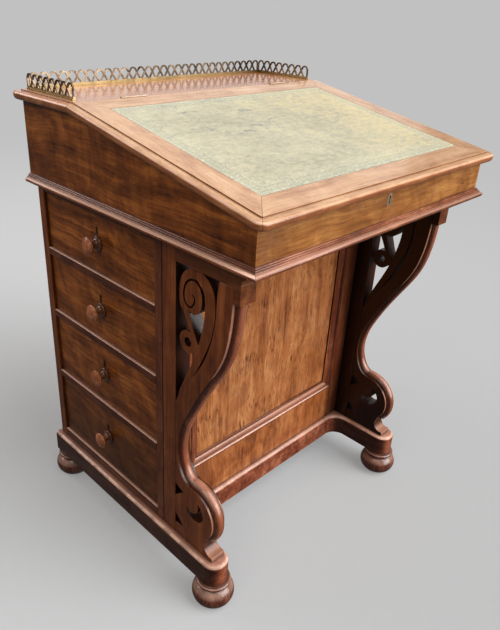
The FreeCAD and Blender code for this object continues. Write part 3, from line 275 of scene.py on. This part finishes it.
class Wood(Paint):
    """Old polished wood: its grain, marks of age, and painted light and shade, laid one by one over the
    colour so far.
    """

    def __init__(self, name, shades, along, seed, mitred, boxed):
        super().__init__(name)
        dark, _, self.light = shades
        self.deep = (*(DEEPER * value for value in dark[:3]), 1.0)
        self.along = along
        number = self.plus(self.add("ObjectInfo").outputs["Random"], seed)
        shift = self.add("VectorMath", {0: BOARD_SPREAD, "Scale": number}, operation="SCALE").outputs[0]
        self.board = self.vector("ADD", self.place, shift)
        self.stretch = ALONG[along]
        if mitred:
            self.follow_frame(*mitred)
        if boxed:
            ends = self.math("GREATER_THAN", self.size(self.facing["Y"]), 0.7)
            self.stretch = self.mix(ends, (*ALONG[along], 1), (*ALONG["X"], 1))
        sway = self.add("TexNoise", {"Vector": self.board, "Scale": 5.0, "Detail": 2.0}).outputs["Color"]
        sway = self.vector("MULTIPLY", self.vector("SUBTRACT", sway, (0.5, 0.5, 0.5)), (SWAY, SWAY, SWAY))
        self.long = self.vector("MULTIPLY", self.vector("ADD", self.board, sway), self.stretch)
        self.hair = self.vector("MULTIPLY", self.long, self.stretch)
        self.streak = self.noise(self.long, 5.5, 6.0, 0.6, 0.4)
        self.fibre = self.noise(self.hair, 3.2, 5.0, 0.7)

    def follow_frame(self, opening, upright):
        """Grain that follows each side of a frame round its opening and turns at the mitres."""
        low, high = opening
        level = "XYZ".index(upright)
        side = self.minus(self.size(self.at["X"]), high.x)
        below = self.minus(low[level], self.at[upright])
        above = self.minus(self.at[upright], high[level])
        ends = self.math("MAXIMUM", below, above)
        self.on_side = self.math("GREATER_THAN", side, self.math("MAXIMUM", ends, 0.0))
        self.stretch = self.mix(self.on_side, (*ALONG["X"], 1), (*ALONG[upright], 1))
        apart = self.size(self.minus(side, ends))
        inside = self.math("LESS_THAN", self.math("MINIMUM", side, ends), -0.001)
        self.seam = self.between(self.plus(apart, inside), 0.0008, 0.0002)

    def pattern(self, figure, curl, slant):
        """Streaks and fibre, with mottling and a slanting ripple across the grain."""
        mottle = self.noise(self.board, 16.0, 4.0, 0.6, 1.2)
        body = self.plus(self.times(self.streak, 0.6), self.times(self.fibre, 0.4))
        body = self.plus(body, self.times(self.minus(mottle, 0.5), figure))
        if curl:
            turn = {"Vector": self.board, "Axis": (0.7, 0.7, 0.0), "Angle": slant}
            slanted = self.vector("MULTIPLY", self.add("VectorRotate", turn).outputs[0], RIPPLE[self.along])
            wave = self.noise(slanted, 1.6, 4.0, 0.6, 0.8)
            body = self.plus(body, self.times(self.minus(wave, 0.5), curl))
        return body

    def flank(self):
        """1 on faces that look sideways, 0 on those that look forwards or up."""
        return self.between(self.size(self.facing["X"]), 0.3, 0.85)

    def lay(self, share, over):
        """Covers a share of the colour so far."""
        self.colour = self.mix(share, self.colour, over)

    # Painted light: faces that look up take the lighter tones, the sides keep the darker ones.
    def light_upper_faces(self, body, shades):
        upper_lit = self.ramp(body, TONE_PLACES, shades)
        self.lay(self.between(self.facing["Z"], 0.1, 0.65), upper_lit)

    def add_bloom(self, share):
        """Patches of grey haze in the polish."""
        patch = self.between(self.noise(self.board, 13.0, 5.0, 0.65, 0.6), 0.50, 0.68)
        self.lay(self.times(patch, share), GREY_BLOOM)

    def add_ticks(self, share):
        """Short dark dashes along the grain, thick in some places and sparse in others."""
        tick = self.between(self.noise(self.long, 48.0, 4.0, 0.65, 0.2), 0.50, 0.66)
        thick = self.between(self.noise(self.board, 20.0, 3.0, 0.6), 0.40, 0.60, 0.3, 1.0)
        self.lay(self.times(tick, self.times(thick, share)), self.deep)

    def add_pores(self):
        pore = self.between(self.noise(self.hair, 21.0, 2.0, 0.5), 0.60, 0.72)
        self.pores = self.times(pore, PORE_SHARE)
        self.lay(self.pores, self.deep)

    # Lighter colour on edges: real wear, and partly a painted highlight along the arrises.
    def wear_and_light_edges(self, share, reach):
        self.patchy = self.between(self.noise(self.board, 38.0, 4.0), 0.34, 0.62)
        self.rubbed = self.times(self.edge(reach), self.patchy)
        self.lay(self.times(self.rubbed, share), self.light)

    def paint_sheen_on_ledges(self, share, tilt):
        """Painted sheen, a painted reflection of the light from above, on faces whose normal rises by more
        than tilt.
        """
        shelf = self.between(self.facing["Z"], tilt, tilt + UP_TURN, 0.0, share)
        self.lay(self.times(shelf, self.between(self.streak, 0.3, 0.6, 0.7, 1.0)), PAINTED_SHEEN)

    def stain_rim(self, share):
        """Upright edges of a plain board stained like the rest."""
        upright = self.between(self.size(self.facing["Z"]), 0.5, 0.2)
        self.lay(self.times(upright, share), WALNUT[0])

    def shade_hollow(self, share):
        """Painted shade inside the bracket's leg behind its front edge, and a painted highlight on that
        edge.
        """
        wall = self.between(self.flank(), 1.0, 0.0)
        behind = self.between(self.at["Y"], BRACKET_HOLLOW - 0.01, BRACKET_HOLLOW)
        ahead = self.between(behind, 1.0, 0.0, 0.0, HOLLOW_EDGE_HIGHLIGHT)
        self.lay(self.times(wall, self.times(behind, share)), SOOT_AND_SHADE)
        self.lay(self.times(wall, ahead), PAINTED_SHEEN)

    def shade_inner_side(self, share):
        """Painted shade on faces that look towards the middle of the desk."""
        inward = self.times(self.at["X"], self.facing["X"])
        self.lay(self.times(self.between(inward, -0.02, -0.12), share), INNER_SHADE)

    def shade_under_box(self, share):
        # Painted shade under the overhang of the box.
        self.lay(self.between(self.at["Z"], CASE_TOP - 0.12, CASE_TOP - 0.01, 0.0, share), SOOT_AND_SHADE)

    def shade_red_end(self, share):
        """Painted shade in dark red on the right end of the case front, beside the bracket."""
        self.lay(self.between(self.at["X"], PANEL_RIGHT - 0.02, PANEL_RIGHT, 0.0, share), BRACKET_SHADE_RED)

    def shade_low_down(self, share):
        # Painted shade, darker towards the floor.
        self.lay(self.between(self.at["Z"], 0.36, 0.12, 0.0, share), SOOT_AND_SHADE)

    def shade_flank(self, share):
        # Painted shade on faces that look sideways.
        self.lay(self.times(self.flank(), share), SOOT_AND_SHADE)

    def paint_highlight_on_arris(self, share):
        """Painted highlight where a rounded edge turns up, strongest at the sides of the desk."""
        turn = self.near(self.facing["Z"], 0.62, 0.4)
        turn = self.times(turn, self.between(self.size(self.facing["X"]), 0.1, 0.6, 0.4, 1.0))
        self.lay(self.times(turn, self.between(self.patchy, 0.0, 1.0, 0.5 * share, share)), ARRIS_HIGHLIGHT)

    def paint_light_on_crown(self, share):
        """A half-round moulding, with a painted highlight along its crown and painted shade down its
        flanks.
        """
        self.lay(self.between(self.flank(), 0.0, 1.0, share, 0.0), self.light)
        self.lay(self.times(self.flank(), CROWN_FLANK_SHADE), SOOT_AND_SHADE)

    def paint_light_on_nose(self, share):
        """A painted highlight along the ledge moulding's crown, and painted shade on its reeds at the sides
        of the desk.
        """
        reeds = self.between(self.at["Z"], LEDGE_CROWN + 0.001, LEDGE_CROWN + 0.002, 0.0, REED_SHADE)
        self.lay(self.times(self.on_side, reeds), SOOT_AND_SHADE)
        crest = self.times(self.near(self.at["Z"], LEDGE_CROWN, 0.0026), share)
        self.lay(self.times(crest, self.between(self.on_side, 0.0, 1.0, 0.4, 1.0)), ARRIS_HIGHLIGHT)

    def draw_joint(self, share):
        """Dark line on the sides where the brackets stand against the case."""
        line = self.near(self.at["Y"], BRACKET_JOINT, 0.0018)
        self.lay(self.times(self.times(line, self.flank()), share), SOOT_AND_SHADE)

    def darken_neck(self, share):
        """Darker colour round the neck of a drawer's knob."""
        stem = self.between(self.size(self.at["X"]), KNOB_NECK + 0.0025, KNOB_NECK - 0.0015)
        self.lay(self.times(stem, share), NECK_DARK)

    def add_grime_and_shade(self, reach):
        # Darker in corners and recesses: grime and painted shade.
        self.dirt_and_shade = self.between(self.recess(reach), 0.30, 0.92, 0.8, 0.0)
        self.lay(self.dirt_and_shade, SOOT_AND_SHADE)

    def polish(self, rough, coat):
        smudge = self.noise(self.board, 9.0, 5.0, 0.6, 0.8)
        roughness = self.plus(self.times(smudge, 0.22), rough - 0.11)
        roughness = self.plus(roughness, self.times(self.math("MAXIMUM", self.dirt_and_shade, self.rubbed), 0.2))
        height = self.minus(self.times(self.fibre, 0.5), self.pores)
        return self.finish(self.colour, roughness, height, 0.0002, 0.35, Specular_IOR_Level=0.3,
                           Coat_Weight=coat, Coat_Roughness=0.12)


# Marks, most of them painted light and shade, that only some woods have, in the order they are laid.
MARKS = {
    "stained": Wood.stain_rim, "hollow": Wood.shade_hollow, "shaded_inside": Wood.shade_inner_side,
    "shade": Wood.shade_under_box, "bracket_shade": Wood.shade_red_end, "low": Wood.shade_low_down,
    "outer": Wood.shade_flank, "arris": Wood.paint_highlight_on_arris, "crown": Wood.paint_light_on_crown,
    "nose": Wood.paint_light_on_nose, "joint": Wood.draw_joint, "neck": Wood.darken_neck,
}


def wood(name, shades, along, *, seed=0.0, mitred=None, boxed=False, sunned=None, figure=0.3, curl=0.0,
         slant=0.5, ticks=0.0, bloom=0.0, wear=0.35, rub=0.0016, ledge=0.0, tilted=0.35, grime=0.014,
         rough=0.3, coat=0.08, **marks):
    """Material of old polished wood.

    shades        dark, middle and light tone
    along, seed   axis the grain runs along, and a number that moves the pattern
    mitred        opening and upright axis of a mitred frame that the grain follows
    boxed         turns the grain on boards that stand across Y
    sunned    lighter tones of the faces that look up, painted light
    figure, curl  strength of the mottling and of a ripple across the grain, which is turned by slant
    ticks, bloom  shares of dark dashes and of grey haze
    wear, rub  lighter edges, partly wear and partly a painted highlight, and how far it reaches
    ledge         share of painted sheen on faces whose normal rises by more than tilted
    grime  how far grime and painted shade reach out of the corners
    rough, coat   roughness of the wood and weight of the polish over it
    marks         share of each of the MARKS
    """
    paint = Wood(name, shades, along, seed, mitred, boxed)
    body = paint.pattern(figure, curl, slant)
    paint.colour = paint.ramp(body, TONE_PLACES, shades)
    if sunned:
        paint.light_upper_faces(body, sunned)
    if bloom:
        paint.add_bloom(bloom)
    if ticks:
        paint.add_ticks(ticks)
    paint.add_pores()
    paint.wear_and_light_edges(wear, rub)
    if ledge:
        paint.paint_sheen_on_ledges(ledge, tilted)
    for mark in sorted(marks, key=list(MARKS).index):
        MARKS[mark](paint, marks[mark])
    paint.add_grime_and_shade(grime)
    if mitred:
        paint.lay(paint.times(paint.seam, MITRE_SHARE), MITRE_LINE)
    return paint.polish(rough, coat)


# ---------------------------------------------------------------- leather and brass

BORDER_LINES = (0.0085, 0.0185)    # two pressed lines, measured in from the edge of the sheet
LINE_REACH = 0.0008
WAVE_LINE = 0.0135                 # the wavy line between them
WAVE_SWING = 0.0024
WAVE_LENGTH = 0.0075
WAVE_REACH = 0.0009


def leather_inset(paint):
    """Distance from the nearest edge of the sheet."""
    side = paint.minus(LEATHER_HIGH.x, paint.size(paint.at["X"]))
    front = paint.math("DIVIDE", paint.minus(paint.at["Y"], LEATHER_LOW.y), math.cos(LID_SLOPE))
    back = paint.math("DIVIDE", paint.minus(LEATHER_HIGH.y, paint.at["Y"]), math.cos(LID_SLOPE))
    return paint.math("MINIMUM", side, paint.math("MINIMUM", front, back))


def border_lines(paint, inset):
    """1 on the pressed lines: two straight ones with a wavy one between them."""
    first, second = (paint.near(inset, line, LINE_REACH) for line in BORDER_LINES)
    along = paint.plus(paint.at["X"], paint.at["Y"])
    beat = paint.math("SINE", paint.times(along, 2 * math.pi / WAVE_LENGTH))
    swung = paint.plus(inset, paint.times(beat, WAVE_SWING))
    wavy = paint.near(swung, WAVE_LINE, WAVE_REACH)
    return paint.math("MAXIMUM", wavy, paint.math("MAXIMUM", first, second))


def leather(name):
    """Faded tooled hide: finely mottled, yellowed to one side and scuffed, with a pressed border."""
    paint = Paint(name)
    x, y = paint.at["X"], paint.at["Y"]
    inset = leather_inset(paint)
    sheet = paint.vector("MULTIPLY", paint.place, (1.0, 1.7, 1.7))
    cloud = paint.noise(paint.place, 9.0, 5.0, 0.6, 0.5)
    grain = paint.noise(sheet, 76.0, 6.0, 0.7, 0.3)
    speck = paint.noise(sheet, 210.0, 4.0, 0.7)
    body = paint.plus(paint.times(cloud, 0.34), paint.times(grain, 0.44))
    body = paint.plus(body, paint.times(speck, 0.22))
    colour = paint.ramp(body, (0.38, 0.5, 0.62), HIDE)

    drift = paint.plus(paint.plus(x, paint.times(y, 0.5)), paint.times(cloud, 0.5))
    yellow = paint.between(drift, 0.14, 0.48, 0.16, 1.0)
    fleck = paint.between(grain, 0.42, 0.62, 0.25, 0.85)
    colour = paint.mix(paint.times(yellow, fleck), colour, HIDE_YELLOW)
    worm = paint.noise(sheet, 27.0, 7.0, 0.7, 1.8)
    spot = paint.times(paint.near(x, -0.075, 0.13), paint.near(y, 0.0, 0.12))
    bar = paint.between(spot, 0.0, 1.0, 0.62, 0.53)
    scuff = paint.between(paint.minus(worm, bar), 0.0, 0.09)
    colour = paint.mix(paint.times(scuff, 0.7), colour, HIDE_SCUFF)
    blot = paint.between(paint.noise(paint.place, 15.0, 5.0, 0.65, 0.8), 0.54, 0.68)
    colour = paint.mix(paint.times(blot, 0.3), colour, HIDE_BLOT)
    bare = paint.times(paint.between(speck, 0.50, 0.62), paint.between(inset, 0.045, 0.012, 0.0, 0.55))
    colour = paint.mix(bare, colour, HIDE_BARE)

    tooled = border_lines(paint, inset)
    colour = paint.mix(paint.times(paint.near(inset, 0.0105, 0.011), 0.25), colour, HIDE_BORDER)
    pressed = paint.times(tooled, paint.between(grain, 0.40, 0.58, 0.3, 0.75))
    colour = paint.mix(pressed, colour, HIDE_TOOLED)
    colour = paint.mix(paint.between(inset, 0.0018, 0.0004, 0.0, 0.75), colour, HIDE_CUT)

    pebble = paint.times(paint.cells(paint.place, 700.0), 0.35)
    height = paint.plus(pebble, paint.plus(grain, paint.times(speck, 0.4)))
    height = paint.minus(height, paint.times(tooled, 0.6))
    roughness = paint.plus(paint.times(grain, 0.3), 0.36)
    return paint.finish(colour, roughness, height, 0.0004, 0.6, Coat_Weight=0.1, Coat_Roughness=0.3)


def brass(name, shades, tarnish, rough=0.3, band=None):
    """Aged brass, rubbed on its edges and brown in its hollows.

    band is the level and the tone of a cleaner base.
    """
    paint = Paint(name)
    bright, dull = shades
    spots = paint.noise(paint.place, 55.0, 6.0, 0.65, 0.6)
    haze = paint.noise(paint.place, 14.0, 3.0)
    hollow = paint.between(paint.recess(0.006), 0.25, 0.9, 1.0, 0.0)
    aged = paint.between(paint.plus(spots, paint.times(haze, 0.4)), 0.78 - tarnish * 0.4, 0.9)
    aged = paint.math("MAXIMUM", aged, hollow)
    aged = paint.math("SUBTRACT", aged, paint.times(paint.edge(0.0009), 0.6), clamp=True)
    colour = paint.mix(aged, bright, dull)
    if band:
        level, clean = band
        low = paint.between(paint.at["Z"], level + 0.0004, level - 0.0004)
        colour = paint.mix(low, colour, paint.mix(paint.times(aged, 0.5), clean, dull))
    roughness = paint.plus(paint.times(aged, 0.25), rough)
    return paint.finish(colour, roughness, spots, 0.0002, 0.4, Metallic=1.0)


# ---------------------------------------------------------------- every node's material

WOODS = {
    "foot_wood": dict(shades=FOOT, along="Z", rough=0.22, coat=0.45, ledge=0.15, arris=0.25, grime=0.02),
    "plinth_wood": dict(shades=PLINTH, along="Y", rough=0.22, coat=0.15, figure=0.5, wear=0.6, ledge=0.45,
                        arris=0.95, outer=0.78),
    "frame_wood": dict(shades=FRAME, along="Z", figure=0.45, ticks=0.6, bloom=0.1, grime=0.07, shade=0.3,
                       bracket_shade=0.55, outer=0.5, joint=1.0),
    "rail_wood": dict(shades=RAIL, along="Z", figure=0.5, ticks=0.7, bloom=0.1, grime=0.05, shade=0.3,
                      bracket_shade=0.5),
    "panel_veneer": dict(shades=PANEL, along="Z", figure=0.28, curl=0.06, ticks=0.95, bloom=0.12,
                         shade=0.45),
    "moulding_wood": dict(shades=LEDGE, along="Y", rough=0.26, coat=0.25, wear=0.4, grime=0.005, nose=0.8,
                          mitred=(inside_of("ledge_moulding", LEDGE_WIDTH), "Y")),
    "panel_moulding_wood": dict(shades=BEAD, along="X", rough=0.2, coat=0.5, wear=0.4, ledge=0.9,
                                tilted=0.1, bracket_shade=0.5,
                                mitred=(inside_of("front_panel_moulding", BEAD_WIDTH), "Z")),
    "roll_wood": dict(shades=ROLL, along="Z", rough=0.24, coat=0.5, wear=0.5, ledge=0.5, tilted=0.2,
                      shaded_inside=0.4, crown=0.4),
    "case_wood": dict(shades=DEEP, along="Z", wear=0.6, rub=0.0024, ledge=0.9),
    "blade_wood": dict(shades=BLADE, along="Y", ledge=0.85, tilted=0.3, arris=0.6, grime=0.004),
    "back_wood": dict(shades=WALNUT, along="Z", rough=0.42, figure=0.4),
    "far_side_veneer": dict(shades=SIDE, along="Y", figure=0.35, curl=0.35, ticks=0.25),
    "knob_wood": dict(shades=TURNED, along="X", rough=0.2, coat=0.5, wear=0.8, neck=0.66),
    "drawer_veneer": dict(shades=SIDE, along="Y", seed=0.37, coat=0.0, figure=0.24, curl=0.34, slant=0.7,
                          ticks=0.5, low=0.62),
    "lining_wood": dict(shades=LINING, along="Y", rough=0.6, coat=0.0, figure=0.2, wear=0.2, boxed=True),
    "box_floor_wood": dict(shades=LINING, along="Y", rough=0.6, coat=0.0, figure=0.2, stained=0.9),
    "bracket_wood": dict(shades=DEEP, along="Z", wear=0.6, grime=0.03, hollow=0.75, shaded_inside=0.92,
                         joint=1.0),
    "bracket_rail_wood": dict(shades=DEEP, along="Y", wear=0.6, shade=0.4, shaded_inside=0.92, joint=1.0),
    "box_side_veneer": dict(shades=BOX_SIDE, along="Y", coat=0.0, figure=0.32, curl=0.3, slant=0.25),
    "box_veneer": dict(shades=FRONT, along="X", curl=0.2, ticks=0.3, bloom=0.1),
    "top_wood": dict(shades=EDGE, along="X", sunned=TOP, rough=0.18, coat=0.4, figure=0.4, wear=0.3,
                     grime=0.004, arris=0.5),
    "lid_wood": dict(shades=EDGE, along="X", sunned=LID, rough=0.24, coat=0.25, wear=0.3, grime=0.004,
                     arris=0.7, mitred=((LEATHER_LOW, LEATHER_HIGH), "Y")),
}
BRASSES = {
    "gallery_brass": dict(shades=BRONZE, tarnish=0.75, rough=0.28, band=(GALLERY_BAND, CLEAN_BAND)),
    "lock_brass": dict(shades=LOCK, tarnish=0.6, rough=0.45),
    "lid_lock_brass": dict(shades=LID_LOCK, tarnish=0.4),
    "hinge_brass": dict(shades=HINGE, tarnish=0.5, rough=0.5),
}
MATERIALS = {name: wood(name, **style) for name, style in WOODS.items()}
MATERIALS["lid_leather"] = leather("lid_leather")
MATERIALS.update({name: brass(name, **style) for name, style in BRASSES.items()})

# A node wears the material that its CAD slot names, unless it has one of its own here.
SLOT_OF = {entry["node"]: entry["material_slot"] for entry in frame["record"]["subparts"]}
OWN_MATERIAL = {
    "lid_board": "lid_wood", "lid_lock": "lid_lock_brass", "drawer_blades": "blade_wood",
    "front_rails": "rail_wood", "front_panel_moulding": "panel_moulding_wood",
    "box_floor": "box_floor_wood", "box_side_left": "box_side_veneer", "box_side_right": "box_side_veneer",
    "bracket_roll_left": "roll_wood", "bracket_roll_right": "roll_wood",
    "bracket_rail_left": "bracket_rail_wood", "bracket_rail_right": "bracket_rail_wood",
}

for name, part in parts.items():
    chosen = MATERIALS[OWN_MATERIAL.get(name, SLOT_OF[name])]
    for slot in part.material_slots:
        slot.material = chosen


# ---------------------------------------------------------------- softened edges

SOFT_EDGE = 0.0009
FINE_EDGE = 0.0005
CARVED_EDGE = 0.0016
WELD_REACH = 0.00001
FLAT_TURN = math.radians(0.3)      # faces that turn less are one flat face
SHARP_TURN = math.radians(32)      # edges that turn more are rounded

ROUND_ALREADY = ("foot_", "gallery", "hinge_", "lid_leather", "lid_lock", "lid_strike", "far_side_knobs")
ROUND_ENDINGS = ("_knob", "_lock")
FINE = ("ledge", "front_panel_moulding", "bracket_roll")
CARVED = ("bracket_fret", "bracket_leg", "drawer_blades")


def smooth_group():
    """Node group that shades every face smooth."""
    group = bpy.data.node_groups.new("smooth_faces", "GeometryNodeTree")
    group.interface.new_socket("Geometry", in_out="INPUT", socket_type="NodeSocketGeometry")
    group.interface.new_socket("Geometry", in_out="OUTPUT", socket_type="NodeSocketGeometry")
    start = group.nodes.new("NodeGroupInput")
    smooth = group.nodes.new("GeometryNodeSetShadeSmooth")
    end = group.nodes.new("NodeGroupOutput")
    group.links.new(start.outputs[0], smooth.inputs[0])
    group.links.new(smooth.outputs[0], end.inputs[0])
    return group


SMOOTH = smooth_group()


def soften(part, width):
    """Sanded edges: joins the faces, merges flat ones and rounds every sharp corner."""
    weld = part.modifiers.new("weld", "WELD")
    weld.merge_threshold = WELD_REACH
    flatten = part.modifiers.new("flatten", "DECIMATE")
    flatten.decimate_type = "DISSOLVE"
    flatten.angle_limit = FLAT_TURN
    bevel = part.modifiers.new("bevel", "BEVEL")
    bevel.width = width
    bevel.segments = 2
    bevel.limit_method = "ANGLE"
    bevel.angle_limit = SHARP_TURN
    smooth = part.modifiers.new("smooth", "NODES")
    smooth.node_group = SMOOTH
    weighted = part.modifiers.new("weighted", "WEIGHTED_NORMAL")
    weighted.keep_sharp = False


def edge_width(name):
    if name.startswith(FINE):
        return FINE_EDGE
    return CARVED_EDGE if name.startswith(CARVED) else SOFT_EDGE


for name, part in parts.items():
    if not (name.startswith(ROUND_ALREADY) or name.endswith(ROUND_ENDINGS)):
        soften(part, edge_width(name))


# ---------------------------------------------------------------- floor, light and camera

FLOOR_SIDES = 48
FLOOR_REACH = 30.0
WALL_RISE = 9.0
FLOOR_DROP = 0.0003                # just under the feet
GLOW_START, GLOW_END = 0.9, 4.0    # distance from the desk over which the floor turns to an even glow
GLOW_UNDER_DESK = 0.4

HORIZON_LOW, HORIZON_HIGH = -0.1, 0.5
SKY_COLOUR = (1.0, 0.98, 0.96, 1.0)
MIDDLE = (0.0, 0.0, 0.45)

EYE = (-0.7751, -0.7131, 0.9394)
EYE_TURN, EYE_TILT, EYE_ROLL = (math.radians(angle) for angle in (-45.08, -27.14, 2.41))
LENS = 35.38                       # millimetres, on a sensor 36 millimetres wide
SHIFT = (0.0420, -0.0073)


def stage(name, points, faces, paint):
    """Adds a plain object that isn't part of the desk."""
    mesh = bpy.data.meshes.new(name)
    mesh.from_pydata(points, [], faces)
    thing = bpy.data.objects.new(name, mesh)
    bpy.context.scene.collection.objects.link(thing)
    thing.data.materials.append(paint.material)
    thing.visible_glossy = False
    thing.visible_diffuse = False


def glow(paint, lit):
    """Output that turns from the lit surface to an even pale glow far from the desk."""
    pale = paint.add("Emission", {"Color": PALE})
    away = paint.vector("LENGTH", paint.vector("MULTIPLY", paint.place, (1, 1, 0)))
    far = paint.between(away, GLOW_START, GLOW_END, GLOW_UNDER_DESK)
    both = paint.add("MixShader", {0: far, 1: lit.outputs[0], 2: pale.outputs[0]})
    output = paint.add("OutputMaterial")
    paint.tree.links.new(both.outputs[0], output.inputs[0])


def floor():
    """Pale floor that runs up into a low wall all round, far from the desk."""
    paint = Paint("floor")
    colour = paint.mix(paint.noise(paint.place, 60.0, 3.0), *FLOOR)
    glow(paint, paint.add("BsdfDiffuse", {"Color": colour, "Roughness": 1.0}))
    level = cad_box[0][2] - FLOOR_DROP
    turns = [2 * math.pi * n / FLOOR_SIDES for n in range(FLOOR_SIDES)]
    low = [(FLOOR_REACH * math.cos(t), FLOOR_REACH * math.sin(t), level) for t in turns]
    high = [(x, y, level + WALL_RISE) for x, y, _ in low]
    following = [(n + 1) % FLOOR_SIDES for n in range(FLOOR_SIDES)]
    walls = [(n, then, then + FLOOR_SIDES, n + FLOOR_SIDES) for n, then in enumerate(following)]
    stage("floor", low + high, [tuple(range(FLOOR_SIDES))] + walls, paint)


def add_light(name, kind, place, aim, power, **shape):
    data = bpy.data.lights.new(name, kind)
    data.energy = power
    for key, value in shape.items():
        setattr(data, key, value)
    lamp = bpy.data.objects.new(name, data)
    lamp.location = place
    lamp.rotation_euler = (Vector(aim) - Vector(place)).to_track_quat("-Z", "Y").to_euler()
    bpy.context.scene.collection.objects.link(lamp)


def softbox(name, place, aim, size, power, colour=(1.0, 1.0, 1.0)):
    width, depth = size
    add_light(name, "AREA", place, aim, power, shape="RECTANGLE", size=width, size_y=depth, color=colour)


def sky(low, high):
    """Even dome of light, dim below the horizon."""
    world = bpy.data.worlds.new("studio")
    world.use_nodes = True
    tree = world.node_tree
    back = tree.nodes["Background"]
    split = tree.nodes.new("ShaderNodeSeparateXYZ")
    level = tree.nodes.new("ShaderNodeMapRange")
    level.inputs["From Min"].default_value = HORIZON_LOW
    level.inputs["From Max"].default_value = HORIZON_HIGH
    level.inputs["To Min"].default_value = low
    level.inputs["To Max"].default_value = high
    tree.links.new(tree.nodes.new("ShaderNodeTexCoord").outputs["Generated"], split.inputs[0])
    tree.links.new(split.outputs["Z"], level.inputs["Value"])
    tree.links.new(level.outputs[0], back.inputs["Strength"])
    back.inputs["Color"].default_value = SKY_COLOUR
    bpy.context.scene.world = world


def camera():
    """Camera solved from the photograph's perspective."""
    data = bpy.data.cameras.new("camera")
    data.lens = LENS
    data.sensor_width = 36.0
    data.sensor_fit = "AUTO"
    data.shift_x, data.shift_y = SHIFT
    data.clip_start, data.clip_end = 0.02, 200.0
    level = math.cos(EYE_TILT)
    ahead = Vector((-math.sin(EYE_TURN) * level, math.cos(EYE_TURN) * level, math.sin(EYE_TILT)))
    right = ahead.cross(Vector((0, 0, 1))).normalized()
    up = right.cross(ahead)
    side = right * math.cos(EYE_ROLL) + up * math.sin(EYE_ROLL)
    top = up * math.cos(EYE_ROLL) - right * math.sin(EYE_ROLL)
    axes = Matrix((side, top, -ahead)).transposed()
    eye = bpy.data.objects.new("camera", data)
    eye.matrix_world = Matrix.Translation(EYE) @ axes.to_4x4()
    bpy.context.scene.collection.objects.link(eye)
    bpy.context.scene.camera = eye


floor()
sky(0.10, 0.34)
add_light("key", "SUN", (0.9, -1.5, 2.4), MIDDLE, 2.9, angle=math.radians(55))
softbox("front", (0.9, -2.5, 0.95), MIDDLE, (2.2, 1.5), 62)
softbox("sheen", (1.9, 2.1, 2.0), (0.0, 0.0, 0.75), (3.2, 2.0), 15)
softbox("rim", (-1.5, 2.3, 1.85), (-0.27, 0.0, 0.6), (1.8, 1.2), 25, (1.0, 0.91, 0.87))
softbox("left", (-1.15, -0.35, 1.5), (-0.27, 0.0, 0.65), (0.7, 0.7), 4.5, (1.0, 0.93, 0.84))
camera()

settings = bpy.context.scene.view_settings
settings.view_transform = "Standard"
settings.look = "None"
